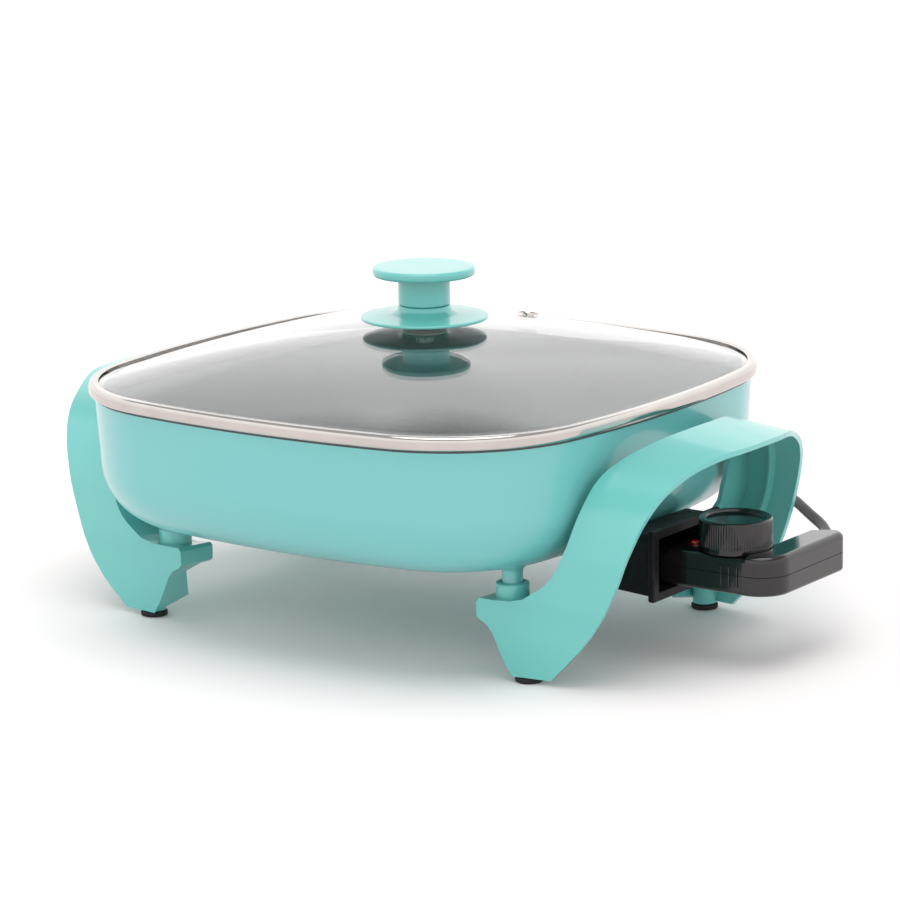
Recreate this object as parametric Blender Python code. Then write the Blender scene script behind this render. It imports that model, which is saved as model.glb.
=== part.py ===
"""Square electric skillet with a glass lid, two leg handles and a plug-in heat control.

The pan's centre axis stands at X = Y = 0 of the design frame and the feet stand on Z = 0.
The control plugs in along -X, from the +X side.  Design sizes are in millimetres, and
every mesh is written in metres.
"""
import math

import bmesh
import bpy
from mathutils import Matrix, Vector

MM = 0.001
GAP = 0.3                    # clearance between two pieces that touch

# ---- driving dimensions: pan and lid -------------------------------------------------
LID_HALF = 154.9             # half the lid band's width across the middle of its sides
CORNER_RADIUS = 84.0         # lid band's corner radius
BOW_RADIUS = 562.0           # the four sides bow outwards gently
BAND_LOW = 126.3             # lower edge of the lid band
BAND_HIGH = 133.3
PAN_LIP = BAND_LOW - GAP
PAN_INSET = 3.0              # pan wall inside the lid band's outline, at the lip
PAN_DRAFT = 2.0              # more inset at the foot of the straight wall
PAN_BOTTOM = 57.0
PAN_FLOOR = 63.0
BASE_FILLET = 35.0
WALL = 3.5
GLASS_THICK = 4.0
GLASS_RISE = 22.8            # dome height above the flat rim of the glass
GLASS_RIM_TOP = 132.2
GLASS_HOLE = 4.5
SIDE_STEPS = 4
CORNER_STEPS = 6

# ---- driving dimensions: knob --------------------------------------------------------
KNOB_TOP = 187.4
KNOB_RADIUS = 27.0
STEM_RADIUS = 13.75
KNOB_SPLIT = 167.0
FLANGE_RADIUS = 33.5
FLANGE_LOW = 159.4
APEX = GLASS_RIM_TOP + GLASS_RISE

# ---- driving dimensions: handles and feet --------------------------------------------
HANDLE_OUT = 206.8           # furthest reach of a handle from the pan's axis
PLATE = 2.8                  # thickness of the handle's outer plate
FLANGE = 2.5                 # thickness of its inner flange
FOOT_LOW = 3.0
PAD_CENTRE = (121.0, -84.0)
PAD_RADIUS = 7.15
BOSS_CENTRE = (108.5, -79.5)
BOSS_RADIUS = 5.4
COLLAR_RADIUS = 8.7
HOOK_TOP = 41.3
SEAT_Z = HOOK_TOP - 3.2      # flat seat of the handle screws, under the hook's roof

# ---- driving dimensions: control -----------------------------------------------------
PIN_Z = 51.0                 # height of the pins and the sensor
PIN_Y = 10.5
GRIP_CENTRE = (206.0, -1.0)  # centre of the round corner between body and grip
GRIP_BEND = 17.0
GRIP_END = (216.0, 51.0)     # centre of the rounding at the grip's free end
GRIP_END_RADIUS = 7.0
NECK_X = 204.0               # the grip's inner face, towards the pan
HEAD_OUT = GRIP_CENTRE[0] + GRIP_BEND    # outer face of the control's grip
BODY_LOW = 40.5
BODY_HIGH = 59.2
HEAD_HIGH = 61.0
SPLIT_Z = 50.6
SHELL = 2.0
NOSE_X = 128.0
NOSE_HIGH = 56.6             # the nose stays low enough to pass under the guard's roof
DIAL_X = 190.8
DIAL_RADIUS = 18.7
DIAL_LOW = 59.6
DIAL_HIGH = 76.5
GUARD_HALF = 30.0
GUARD_MOUTH = 161.0

# ---- driving dimensions: cord --------------------------------------------------------
CORD_RADIUS = 3.2
CORD_EXIT = (210.3, 54.0)    # where the strain relief leaves the grip
CORD_HEADING = math.radians(115.6)
RELIEF_LENGTH = 22.0
COIL_CENTRE = (-90.0, 262.0)
COIL_MEAN = 32.8             # radius at the middle of the coil's two turns
COIL_OUTER = COIL_MEAN + CORD_RADIUS     # radius of the outer turn
COIL_INNER = COIL_MEAN - CORD_RADIUS     # radius of the inner turn, which leads to the plug

PAN_X = -(HEAD_OUT - HANDLE_OUT) / 2     # centres the whole object on X = 0
ROUND = 20                               # sides of a round piece

MATERIALS = {
    "turquoise": ((0.24, 0.63, 0.60), 0.22, 0.0),
    "steel": ((0.70, 0.68, 0.66), 0.25, 1.0),
    "glass": ((0.85, 0.90, 0.90), 0.03, 0.0),
    "black": ((0.02, 0.02, 0.022), 0.30, 0.0),
    "rubber": ((0.03, 0.03, 0.03), 0.75, 0.0),
    "silicone": ((0.80, 0.80, 0.78), 0.60, 0.0),
    "brass": ((0.75, 0.58, 0.28), 0.30, 1.0),
    "ceramic": ((0.88, 0.86, 0.80), 0.55, 0.0),
    "red": ((0.60, 0.03, 0.03), 0.15, 0.0),
}


# ======================================================================================
# Tools
# ======================================================================================
def clear_scene():
    for item in list(bpy.data.objects):
        bpy.data.objects.remove(item, do_unlink=True)


def make_material(name):
    color, roughness, metallic = MATERIALS[name]
    made = bpy.data.materials.get(name)
    if made is None:
        made = bpy.data.materials.new(name)
        made.use_nodes = True
        shader = made.node_tree.nodes["Principled BSDF"]
        shader.inputs["Base Color"].default_value = (*color, 1.0)
        shader.inputs["Roughness"].default_value = roughness
        shader.inputs["Metallic"].default_value = metallic
    return made


def make_frame(name, place, parent=None):
    """An empty at a place given in the design frame; pieces that move together hang on it."""
    empty = bpy.data.objects.new(name, None)
    bpy.context.collection.objects.link(empty)
    empty["place"] = place
    if parent is None:
        empty.location = Vector((PAN_X, 0.0, 0.0)) * MM + Vector(place) * MM
    else:
        empty.parent = parent
        empty.location = (Vector(place) - Vector(parent["place"])) * MM
    return empty


def add_mesh(name, bm, material, frame):
    """Turn a bmesh in design millimetres into an object that hangs on a frame."""
    bmesh.ops.recalc_face_normals(bm, faces=bm.faces)
    shift = Matrix.Translation(-Vector(frame["place"]))
    bmesh.ops.transform(bm, matrix=Matrix.Scale(MM, 4) @ shift, verts=bm.verts)
    mesh = bpy.data.meshes.new(name)
    bm.to_mesh(mesh)
    bm.free()
    mesh.shade_smooth()
    mesh.set_sharp_from_angle(angle=math.radians(35))
    mesh.materials.append(make_material(material))
    item = bpy.data.objects.new(name, mesh)
    bpy.context.collection.objects.link(item)
    item.parent = frame
    return item


def combine(target, tool, operation):
    """Add or cut a tool with a Boolean; the tool stays as a hidden guide."""
    step = target.modifiers.new(f"{operation.lower()}_{tool.name}", "BOOLEAN")
    step.operation = operation
    step.solver = "EXACT"
    step.object = tool
    tool.hide_render = True
    tool.display_type = "WIRE"


def loft(bm, rings, closed_loop=False):
    """Skin rings of equal length, then cap both ends or join the last ring to the first."""
    rows = [[bm.verts.new(point) for point in ring] for ring in rings]
    count = len(rows[0])
    pairs = list(zip(rows, rows[1:]))
    if closed_loop:
        pairs.append((rows[-1], rows[0]))
    for low, high in pairs:
        for index in range(count):
            after = (index + 1) % count
            bm.faces.new((low[index], low[after], high[after], high[index]))
    if not closed_loop:
        bm.faces.new(rows[0])
        bm.faces.new(rows[-1])


def circle(radius, height, centre=(0.0, 0.0), steps=ROUND):
    angles = [2 * math.pi * index / steps for index in range(steps)]
    return [(centre[0] + radius * math.cos(a), centre[1] + radius * math.sin(a), height)
            for a in angles]


def turned(profile, centre=(0.0, 0.0), hollow=False, steps=ROUND):
    """A solid turned about a vertical axis from (radius, height) pairs."""
    bm = bmesh.new()
    loft(bm, [circle(r, z, centre, steps) for r, z in profile], hollow)
    return bm


def along_x(bm, low, centre_y, centre_z):
    """Lay a bmesh turned about Z down along +X, with its Z = 0 end at X = low."""
    lay = Matrix.Translation((low, centre_y, centre_z)) @ Matrix.Rotation(math.pi / 2, 4, "Y")
    bmesh.ops.transform(bm, matrix=lay, verts=bm.verts)
    return bm


def rod_x(radius, low, high, centre_y, centre_z, steps=ROUND):
    return along_x(turned([(radius, 0), (radius, high - low)], steps=steps),
                   low, centre_y, centre_z)


def prism(outline, low, high, axis="Z"):
    """Extrude a flat outline along an axis; a Y prism's outline is in X and Z."""
    place = {"Z": lambda u, v, w: (u, v, w), "Y": lambda u, v, w: (u, w, v)}[axis]
    bm = bmesh.new()
    loft(bm, [[place(u, v, w) for u, v in outline] for w in (low, high)])
    return bm


def box(low, high):
    outline = [(low[0], low[1]), (high[0], low[1]), (high[0], high[1]), (low[0], high[1])]
    return prism(outline, low[2], high[2])


def merge(parts):
    """Several separate solids in one bmesh."""
    whole = bmesh.new()
    for part in parts:
        scratch = bpy.data.meshes.new("scratch")
        part.to_mesh(scratch)
        part.free()
        whole.from_mesh(scratch)
        bpy.data.meshes.remove(scratch)
    return whole


def add_each(name, parts, material, frame):
    """Identical pieces, each in a node of its own."""
    for number, part in enumerate(parts, 1):
        add_mesh(f"{name}_{number}", part, material, frame)


def arc(centre, radius, start, end, steps):
    """Points of an arc in degrees, both ends included."""
    angles = [math.radians(start + (end - start) * k / steps) for k in range(steps + 1)]
    return [(centre[0] + radius * math.cos(a), centre[1] + radius * math.sin(a)) for a in angles]


def smooth_curve(points, steps):
    """Catmull-Rom curve through 3-D points, with a number of steps per span."""
    knots = [Vector(p) for p in points]
    knots = [2 * knots[0] - knots[1], *knots, 2 * knots[-1] - knots[-2]]
    curve = []
    for index in range(1, len(knots) - 2):
        before, start, end, after = knots[index - 1:index + 3]
        for step in range(steps):
            t = step / steps
            curve.append(0.5 * (2 * start + (end - before) * t
                                + (2 * before - 5 * start + 4 * end - after) * t ** 2
                                + (3 * start - before - 3 * end + after) * t ** 3))
    curve.append(knots[-2])
    return curve


def mirrored_corners(centre):
    """The four places of a fastener that repeats at every handle foot."""
    return [(side * centre[0], end * centre[1]) for side in (1, -1) for end in (1, -1)]


# ======================================================================================
# Pan outline: four bowed sides joined by round corners
# ======================================================================================
def corner_offset():
    """Distance of each corner circle's centre from the two mid planes."""
    reach = BOW_RADIUS - LID_HALF
    # the corner circle touches the side arc from inside
    inside = BOW_RADIUS - CORNER_RADIUS
    return (math.sqrt(2 * inside ** 2 - reach ** 2) - reach) / 2


def square_outline(inset, height):
    """One closed ring of the rounded square, moved in by an even inset."""
    corner = corner_offset()
    reach = BOW_RADIUS - LID_HALF
    turn = math.degrees(math.atan2(corner, corner + reach))
    side = arc((-reach, 0.0), BOW_RADIUS - inset, -turn, turn, SIDE_STEPS)
    bend = arc((corner, corner), CORNER_RADIUS - inset, turn, 90 - turn, CORNER_STEPS)
    quarter = side + bend[1:-1]
    ring = []
    for index in range(4):
        angle = index * math.pi / 2
        ring += [(x * math.cos(angle) - y * math.sin(angle),
                  x * math.sin(angle) + y * math.cos(angle), height) for x, y in quarter]
    return ring


def pan_profile():
    """(inset, height) from the underside, up the outer wall and down the inner wall."""
    foot = PAN_INSET + PAN_DRAFT
    low_centre = PAN_BOTTOM + BASE_FILLET
    outer = [(foot + BASE_FILLET * (1 - math.sin(a)), low_centre - BASE_FILLET * math.cos(a))
             for a in [math.radians(22.5 * k) for k in range(5)]]
    inner_radius = BASE_FILLET - WALL
    inner_low = PAN_FLOOR + inner_radius
    inner = [(foot + WALL + inner_radius * (1 - math.sin(a)), inner_low - inner_radius * math.cos(a))
             for a in [math.radians(30 * k) for k in range(3, -1, -1)]]
    lip = [(PAN_INSET, PAN_LIP - 0.8), (PAN_INSET + 0.8, PAN_LIP),
           (PAN_INSET + WALL - 0.8, PAN_LIP), (PAN_INSET + WALL, PAN_LIP - 0.8)]
    return outer + lip + inner


def build_pan(base):
    bm = bmesh.new()
    loft(bm, [square_outline(inset, height) for inset, height in pan_profile()])
    pan = add_mesh("pan_body", bm, "turquoise", base)

    post_low = HOOK_TOP + 2.6
    posts = [turned([(BOSS_RADIUS, post_low), (BOSS_RADIUS, PAN_BOTTOM + 4.0)], spot, steps=16)
             for spot in mirrored_corners(BOSS_CENTRE)]
    socket = box((62.0, -6.0, 44.8), (116.5, 6.0, PAN_BOTTOM + 2.0))
    combine(pan, add_mesh("guide_pan_posts", merge(posts), "turquoise", base), "UNION")
    combine(pan, add_mesh("guide_probe_socket", socket, "turquoise", base), "UNION")

    taps = [turned([(2.2, 40.0), (2.2, 55.5)], spot, steps=12)
            for spot in mirrored_corners(BOSS_CENTRE)]
    taps += [turned([(1.9, 50.0), (1.9, PAN_BOTTOM + 4.0)], (110.0, end * 25.0), steps=12)
             for end in (1, -1)]
    taps.append(rod_x(3.3, 66.0, 120.0, 0.0, PIN_Z, 16))
    combine(pan, add_mesh("guide_pan_holes", merge(taps), "turquoise", base), "DIFFERENCE")


def build_element(base):
    """Sheathed heating tube: a ring under the floor whose two ends turn out to the pins."""
    ring_radius = 84.0
    lead_angle = 17.0
    ring = [(ring_radius * math.cos(math.radians(a)), ring_radius * math.sin(math.radians(a)), 52.6)
            for a in range(34, 327, 12)]
    angle = math.radians(lead_angle)
    bend = (ring_radius * math.cos(angle), ring_radius * math.sin(angle), 52.4)
    lead = [(112.0, PIN_Y, PIN_Z), (108.0, PIN_Y, PIN_Z), (103.0, PIN_Y + 1.0, PIN_Z),
            (94.0, PIN_Y + 4.5, 51.6), bend]
    tail = [(x, -y, z) for x, y, z in reversed(lead)]
    route = smooth_curve([*lead, *ring, *tail], 1)
    add_tube("heating_element", route, 3.8, "steel", base)

    beads = [along_x(turned([(4.2, 0), (4.2, 4), (3.4, 5.5)], steps=16), 112.4, end * PIN_Y, PIN_Z)
             for end in (1, -1)]
    add_each("terminal_insulator", beads, "ceramic", base)
    pins = [along_x(turned([(2.3, 0), (2.3, 20.5), (1.3, 22.5)], steps=16), 118.2, end * PIN_Y, PIN_Z)
            for end in (1, -1)]
    add_each("terminal_pin", pins, "steel", base)


def add_tube(name, route, radius, material, frame):
    """A round tube with filled caps along a list of points."""
    shape = bpy.data.curves.new(name, "CURVE")
    shape.dimensions = "3D"
    shape.bevel_depth = radius * MM
    shape.bevel_resolution = 2
    shape.use_fill_caps = True
    spline = shape.splines.new("POLY")
    spline.points.add(len(route) - 1)
    for knot, point in zip(spline.points, route):
        knot.co = (*((Vector(point) - Vector(frame["place"])) * MM), 1.0)
    shape.materials.append(make_material(material))
    item = bpy.data.objects.new(name, shape)
    bpy.context.collection.objects.link(item)
    item.parent = frame
    return item


# ======================================================================================
# Probe guard: an open shroud under the pan's edge, with its mouth towards +X
# ======================================================================================
def guard_outline(grow):
    """Outline in X and Z; the roof follows the pan's base fillet with a small gap."""
    fillet_x = LID_HALF - PAN_INSET - PAN_DRAFT - BASE_FILLET
    fillet_z = PAN_BOTTOM + BASE_FILLET
    roof = arc((fillet_x, fillet_z), BASE_FILLET + 1.0 - grow, 306, 276, 5)
    return [(119.0 - grow, 38.5 - grow), (GUARD_MOUTH, 36.0 - grow), (GUARD_MOUTH, 68.5 + grow),
            (roof[0][0] + 6.6, 68.5 + grow), *roof]


def build_guard(base):
    guard = add_mesh("probe_guard", prism(guard_outline(0.0), -GUARD_HALF, GUARD_HALF, "Y"),
                     "black", base)
    lip = box((GUARD_MOUTH - 2.5, -GUARD_HALF - 2.5, 33.8), (GUARD_MOUTH + 1.5, GUARD_HALF + 2.5, 71.0))
    combine(guard, add_mesh("guide_guard_lip", lip, "black", base), "UNION")
    wall = 2.2
    hollow = prism([(119.0 + wall, 38.5 + wall), (GUARD_MOUTH + 5.0, 36.0 + wall),
                    (GUARD_MOUTH + 5.0, 68.5 - wall), (145.0, 68.5 - wall), (138.0, 61.5),
                    (130.0, 58.5), (119.0 + wall, 55.6)],
                   -GUARD_HALF + wall, GUARD_HALF - wall, "Y")
    combine(guard, add_mesh("guide_guard_hollow", hollow, "black", base), "DIFFERENCE")
    ears = [box((104.0, min(s * 20.5, s * 29.5), 53.6), (120.0, max(s * 20.5, s * 29.5), 56.4))
            for s in (1, -1)]
    combine(guard, add_mesh("guide_guard_ears", merge(ears), "black", base), "UNION")
    holes = [rod_x(3.0, 110.0, 125.0, s * PIN_Y, PIN_Z, 16) for s in (1, -1)]
    holes.append(rod_x(4.0, 110.0, 125.0, 0.0, PIN_Z, 16))
    holes += [turned([(2.2, 50.0), (2.2, 58.0)], (110.0, s * 25.0), steps=12) for s in (1, -1)]
    combine(guard, add_mesh("guide_guard_holes", merge(holes), "black", base), "DIFFERENCE")
    screws = [turned([(3.6, 50.9), (3.6, 53.3), (1.6, 53.3), (1.6, 60.2)], (110.0, s * 25.0), steps=12)
              for s in (1, -1)]
    add_each("guard_screw", screws, "steel", base)


# ======================================================================================
# Handles: a flanged arch that runs from the front foot over the top to the rear foot
# ======================================================================================
# Each row pairs a point of the pan-side edge with one of the outer edge, and gives the
# depth of the flange there.  The rows go up the front half; the rear half mirrors it.
LEG_ROWS = [
    ((115.3, -91.0, FOOT_LOW), (136.8, -88.2, FOOT_LOW), 26.0),
    ((111.0, -91.3, 9.5), (140.6, -88.5, 6.9), 22.0),
    ((107.2, -91.6, 17.5), (145.0, -88.8, 11.2), 18.0),
    ((104.2, -91.8, 24.0), (148.4, -88.9, 14.8), 14.5),
    ((101.0, -92.0, 28.0), (150.9, -88.9, 17.3), 25.0),
    ((96.5, -92.2, 30.3), (152.6, -88.8, 19.3), 25.0),
    ((95.0, -92.2, 32.0), (154.3, -88.6, 21.3), 25.0),
    ((95.0, -92.2, 39.3), (158.5, -88.2, 26.5), 25.0),
    ((96.8, -92.0, HOOK_TOP), (160.0, -88.0, 28.7), 25.0),
    ((105.5, -92.0, HOOK_TOP), (162.0, -87.6, 31.8), 25.0),
    ((115.0, -92.0, HOOK_TOP + 0.6), (164.4, -87.0, 35.5), 25.0),
]
ARCH_ROWS = [
    ((122.5, -91.8, 43.8), (166.9, -86.4, 40.0), 25.0),
    ((136.5, -90.0, 54.0), (173.4, -84.2, 55.0), 25.0),
    ((144.6, -87.4, 69.5), (178.6, -82.4, 70.5), 25.0),
    ((149.0, -80.5, 88.0), (185.0, -76.5, 88.5), 24.0),
    ((153.0, -69.0, 104.0), (190.6, -66.5, 101.5), 22.0),
    ((158.5, -53.0, 112.8), (196.5, -50.5, 110.5), 19.0),
    ((167.0, -34.0, 119.2), (203.2, -32.5, 115.4), 16.0),
    ((172.7, -17.0, 122.2), (206.2, -16.0, 116.3), 14.0),
]
CROWN_ROW = ((174.3, 0.0, 122.9), (HANDLE_OUT, 0.0, 116.5), 13.0)


def handle_rows():
    """All stations of one handle: straight rows in the legs, smooth ones in the arch."""
    arch = ARCH_ROWS + [CROWN_ROW]
    arch += [(flip_y(inner), flip_y(outer), depth) for inner, outer, depth in reversed(ARCH_ROWS)]
    inner = smooth_curve([row[0] for row in arch], 2)
    outer = smooth_curve([row[1] for row in arch], 2)
    depth = smooth_curve([(row[2], 0, 0) for row in arch], 2)
    rows = [(Vector(i), Vector(o), d) for i, o, d in LEG_ROWS]
    rows += [(i, o, d.x) for i, o, d in zip(inner, outer, depth)]
    rows += [(Vector(flip_y(i)), Vector(flip_y(o)), d) for i, o, d in reversed(LEG_ROWS)]
    return rows


def flip_y(point):
    return (point[0], -point[1], point[2])


def heading(points, index):
    """Average direction of a path at a point, and the miter factor of its corner."""
    before = points[index] - points[max(index - 1, 0)]
    after = points[min(index + 1, len(points) - 1)] - points[index]
    if before.length == 0:
        before = after
    if after.length == 0:
        after = before
    mean = (before.normalized() + after.normalized()).normalized()
    return mean, 1 / max(mean.dot(before.normalized()), 0.6)


def handle_sections():
    """Closed sections: plate, centre rib and pan-side flange."""
    rows = handle_rows()
    inner_path = [row[0] for row in rows]
    outer_path = [row[1] for row in rows]
    sections = []
    for index, (inner, outer, depth) in enumerate(rows):
        across = (outer - inner).normalized()
        inward = heading(outer_path, index)[0].cross(across).normalized()
        along, miter = heading(inner_path, index)
        into = inward.cross(along).normalized() * miter
        middle = inner.lerp(outer, 0.55)
        on_leg = index < len(LEG_ROWS) or index >= len(rows) - len(LEG_ROWS)
        rib = inward * (PLATE + (0.0 if on_leg else 5.0))
        back = inward * PLATE
        sections.append([
            inner, outer, outer + back, middle + across * 0.9 + back, middle + across * 0.7 + rib,
            middle - across * 0.7 + rib, middle - across * 0.9 + back,
            inner + into * FLANGE + back, inner + into * FLANGE + inward * depth,
            inner + inward * depth])
    return sections


def build_handle(name, side, base):
    bm = bmesh.new()
    loft(bm, handle_sections())
    bmesh.ops.transform(bm, matrix=Matrix.Diagonal((side, 1, 1, 1)), verts=bm.verts)
    handle = add_mesh(name, bm, "turquoise", base)
    spots = [(side, end) for end in (1, -1)]

    posts = [turned([(6.4, FOOT_LOW), (6.4, HOOK_TOP + 0.4)],
                    (s * PAD_CENTRE[0], e * PAD_CENTRE[1]), steps=12) for s, e in spots]
    collars = [turned([(COLLAR_RADIUS, HOOK_TOP - 1.8), (COLLAR_RADIUS, HOOK_TOP + 7.4)],
                      (s * BOSS_CENTRE[0], e * BOSS_CENTRE[1]), steps=14) for s, e in spots]
    combine(handle, add_mesh(f"guide_{name}_posts", merge(posts), "turquoise", base), "UNION")
    combine(handle, add_mesh(f"guide_{name}_collars", merge(collars), "turquoise", base), "UNION")
    holes = []
    seats = []
    for s, e in spots:
        boss = (s * BOSS_CENTRE[0], e * BOSS_CENTRE[1])
        pad = (s * PAD_CENTRE[0], e * PAD_CENTRE[1])
        holes.append(turned([(2.4, HOOK_TOP - 6.0), (2.4, HOOK_TOP + 2.2),
                             (BOSS_RADIUS + 0.4, HOOK_TOP + 2.2), (BOSS_RADIUS + 0.4, HOOK_TOP + 9.0)],
                            boss, steps=12))
        holes.append(turned([(2.3, 0.0), (2.3, 15.0)], pad, steps=12))
        seats.append(turned([(5.4, HOOK_TOP - 7.5), (5.4, SEAT_Z)], boss, steps=12))
    combine(handle, add_mesh(f"guide_{name}_holes", merge(holes), "turquoise", base), "DIFFERENCE")
    combine(handle, add_mesh(f"guide_{name}_seats", merge(seats), "turquoise", base), "DIFFERENCE")


def build_feet(base):
    pads = [turned([(PAD_RADIUS - 1.0, 0.0), (PAD_RADIUS, 0.8), (PAD_RADIUS, FOOT_LOW - GAP),
                    (2.0, FOOT_LOW - GAP), (2.0, 12.0)], spot, steps=16)
            for spot in mirrored_corners(PAD_CENTRE)]
    add_each("foot_pad", pads, "rubber", base)
    head_low = SEAT_Z - 3.9
    screws = [turned([(3.6, head_low), (3.8, head_low + 2.4), (1.8, head_low + 2.4), (1.8, 54.0)],
                     spot, steps=12) for spot in mirrored_corners(BOSS_CENTRE)]
    add_each("handle_screw", screws, "steel", base)
    low, high = SEAT_Z - 1.1, SEAT_Z - GAP
    washers = [turned([(4.6, low), (4.6, high), (2.1, high), (2.1, low)], spot, True, 16)
               for spot in mirrored_corners(BOSS_CENTRE)]
    add_each("handle_washer", washers, "steel", base)


# ======================================================================================
# Lid
# ======================================================================================
def glass_ring(share, height):
    """The glass edge scaled towards the middle, turning round near the centre hole."""
    edge = square_outline(7.0, height)
    blend = min(share / 0.45, 1.0)
    ring = []
    for x, y, z in edge:
        reach = math.hypot(x, y)
        radius = (blend * reach + (1 - blend) * LID_HALF) * share
        ring.append((x / reach * radius, y / reach * radius, z))
    return ring


def dome(share, below=0.0):
    return glass_ring(share, GLASS_RIM_TOP + GLASS_RISE * (1 - share ** 2) - below)


def build_lid(lid):
    hole = GLASS_HOLE / LID_HALF
    shares = [1.0, 0.82, 0.62, 0.42, 0.22, hole]
    top = [square_outline(2.2, GLASS_RIM_TOP - 0.4)] + [dome(share) for share in shares]
    bottom = [dome(share, GLASS_THICK) for share in reversed(shares)]
    bottom.append(square_outline(2.2, GLASS_RIM_TOP - GLASS_THICK + 0.4))
    bm = bmesh.new()
    loft(bm, top + bottom, closed_loop=True)
    glass = add_mesh("lid_glass", bm, "glass", lid)

    vent = (0.5, 96.0)
    vent_cut = turned([(3.6, 130.0), (3.6, 165.0)], vent, steps=16)
    combine(glass, add_mesh("guide_vent_hole", vent_cut, "glass", lid), "DIFFERENCE")
    share = vent[1] / (LID_HALF - 7.0)
    vent_top = GLASS_RIM_TOP + GLASS_RISE * (1 - share ** 2)
    slope = math.atan(2 * GLASS_RISE * share / (LID_HALF - 7.0))
    low = -GLASS_THICK / 2 - 0.9
    grommet = turned([(2.0, low - 1.6), (5.6, low - 1.6), (5.6, low), (3.1, low), (3.1, 2.6),
                      (5.6, 2.6), (5.6, 4.0), (2.0, 4.0)], hollow=True, steps=16)
    tilt = (Matrix.Translation((vent[0], vent[1], vent_top - GLASS_THICK / 2))
            @ Matrix.Rotation(-slope, 4, "X"))
    bmesh.ops.transform(grommet, matrix=tilt, verts=grommet.verts)
    add_mesh("vent_grommet", grommet, "steel", lid)

    band = [(0.9, BAND_LOW), (0.0, BAND_LOW + 1.2), (0.0, BAND_HIGH - 1.8),
            (1.3, BAND_HIGH), (5.2, BAND_HIGH - 0.3), (5.2, BAND_HIGH - 0.7),
            (1.8, BAND_HIGH - 0.7), (1.8, GLASS_RIM_TOP - GLASS_THICK - 0.3),
            (8.8, GLASS_RIM_TOP - GLASS_THICK - 0.6), (8.8, 121.5), (8.0, 121.5), (8.0, BAND_LOW)]
    bm = bmesh.new()
    loft(bm, [square_outline(inset, height) for inset, height in band], closed_loop=True)
    add_mesh("lid_band", bm, "steel", lid)


def build_knob(lid):
    edge = 1.4
    cap = [(STEM_RADIUS, KNOB_SPLIT + 0.15), (STEM_RADIUS, 180.5), (STEM_RADIUS + 2.0, 182.5),
           (KNOB_RADIUS - edge, 182.5), (KNOB_RADIUS, 182.5 + edge), (KNOB_RADIUS, KNOB_TOP - 2.0),
           (KNOB_RADIUS - 2.0, KNOB_TOP - 0.4), (KNOB_RADIUS - 7.0, KNOB_TOP)]
    knob = add_mesh("knob_cap", turned(cap), "turquoise", lid)
    tool = turned([(2.8, KNOB_SPLIT - 2.0), (2.8, 178.0)], steps=12)
    combine(knob, add_mesh("guide_knob_bore", tool, "turquoise", lid), "DIFFERENCE")

    foot = APEX + 1.5
    base = [(2.9, foot), (12.0, foot), (14.0, FLANGE_LOW), (FLANGE_RADIUS - 0.8, FLANGE_LOW),
            (FLANGE_RADIUS, FLANGE_LOW + 0.8), (FLANGE_RADIUS - 0.8, FLANGE_LOW + 1.6),
            (18.0, FLANGE_LOW + 2.8), (14.6, FLANGE_LOW + 4.6), (STEM_RADIUS, KNOB_SPLIT - 0.15),
            (2.9, KNOB_SPLIT - 0.15)]
    add_mesh("knob_base", turned(base, hollow=True), "turquoise", lid)
    rings = {"knob_gasket": (APEX + GAP, foot - GAP, 11.5, "silicone"),
             "under_gasket": (APEX - GLASS_THICK - 1.8, APEX - GLASS_THICK - 1.0, 11.5, "silicone"),
             "under_washer": (APEX - GLASS_THICK - 3.3, APEX - GLASS_THICK - 2.1, 10.0, "steel")}
    for name, (low, high, radius, material) in rings.items():
        add_mesh(name, turned([(2.9, low), (radius, low), (radius, high), (2.9, high)], hollow=True),
                 material, lid)
    head = APEX - GLASS_THICK - 7.0
    screw = [(3.5, head), (4.8, head + 1.0), (4.8, head + 3.4), (2.5, head + 3.4), (2.5, 176.0)]
    add_mesh("knob_screw", turned(screw, steps=16), "steel", lid)


# ======================================================================================
# Heat control
# ======================================================================================
def body_outline(inset):
    """Plan of the control: nose, body and the grip that runs back along +Y."""
    return [(NOSE_X + inset, -16 + inset), (160, -16 + inset), (164, -18 + inset),
            *arc(GRIP_CENTRE, GRIP_BEND - inset, 270, 360, 5),
            *arc(GRIP_END, GRIP_END_RADIUS - inset, 0, 85, 3),
            (NECK_X + inset, 49.9 - 0.4 * inset), (NECK_X + inset, 24 - inset), (198 + inset, 18 - inset),
            (164, 18 - inset), (160, 16 - inset), (NOSE_X + inset, 16 - inset)]


def grip_outline(inset):
    """The part of the plan that stands a little higher than the body."""
    return [(207, -18 + inset), *arc(GRIP_CENTRE, GRIP_BEND - inset, 280, 360, 4),
            *arc(GRIP_END, GRIP_END_RADIUS - inset, 0, 85, 3),
            (NECK_X + inset, 49.9 - 0.4 * inset), (NECK_X + inset, 24)]


def cord_direction():
    return Vector((math.cos(CORD_HEADING), math.sin(CORD_HEADING), 0.0))


def exit_matrix():
    """Frame at the cord exit whose +Z points along the leaving cord."""
    turn = cord_direction().to_track_quat("Z", "X").to_matrix().to_4x4()
    return Matrix.Translation((CORD_EXIT[0], CORD_EXIT[1], SPLIT_Z)) @ turn


def control_cutters():
    """Holes for the contact sleeves, the sensor, the dial shaft and the cord."""
    holes = [rod_x(3.6, NOSE_X - 4, NOSE_X + 4, s * PIN_Y, PIN_Z, 16) for s in (1, -1)]
    holes.append(rod_x(3.1, NOSE_X - 4, NOSE_X + 4, 0.0, PIN_Z, 16))
    relief = turned([(4.6, -8.0), (4.6, 6.0)], steps=16)
    bmesh.ops.transform(relief, matrix=exit_matrix(), verts=relief.verts)
    return merge(holes + [relief])


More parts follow.
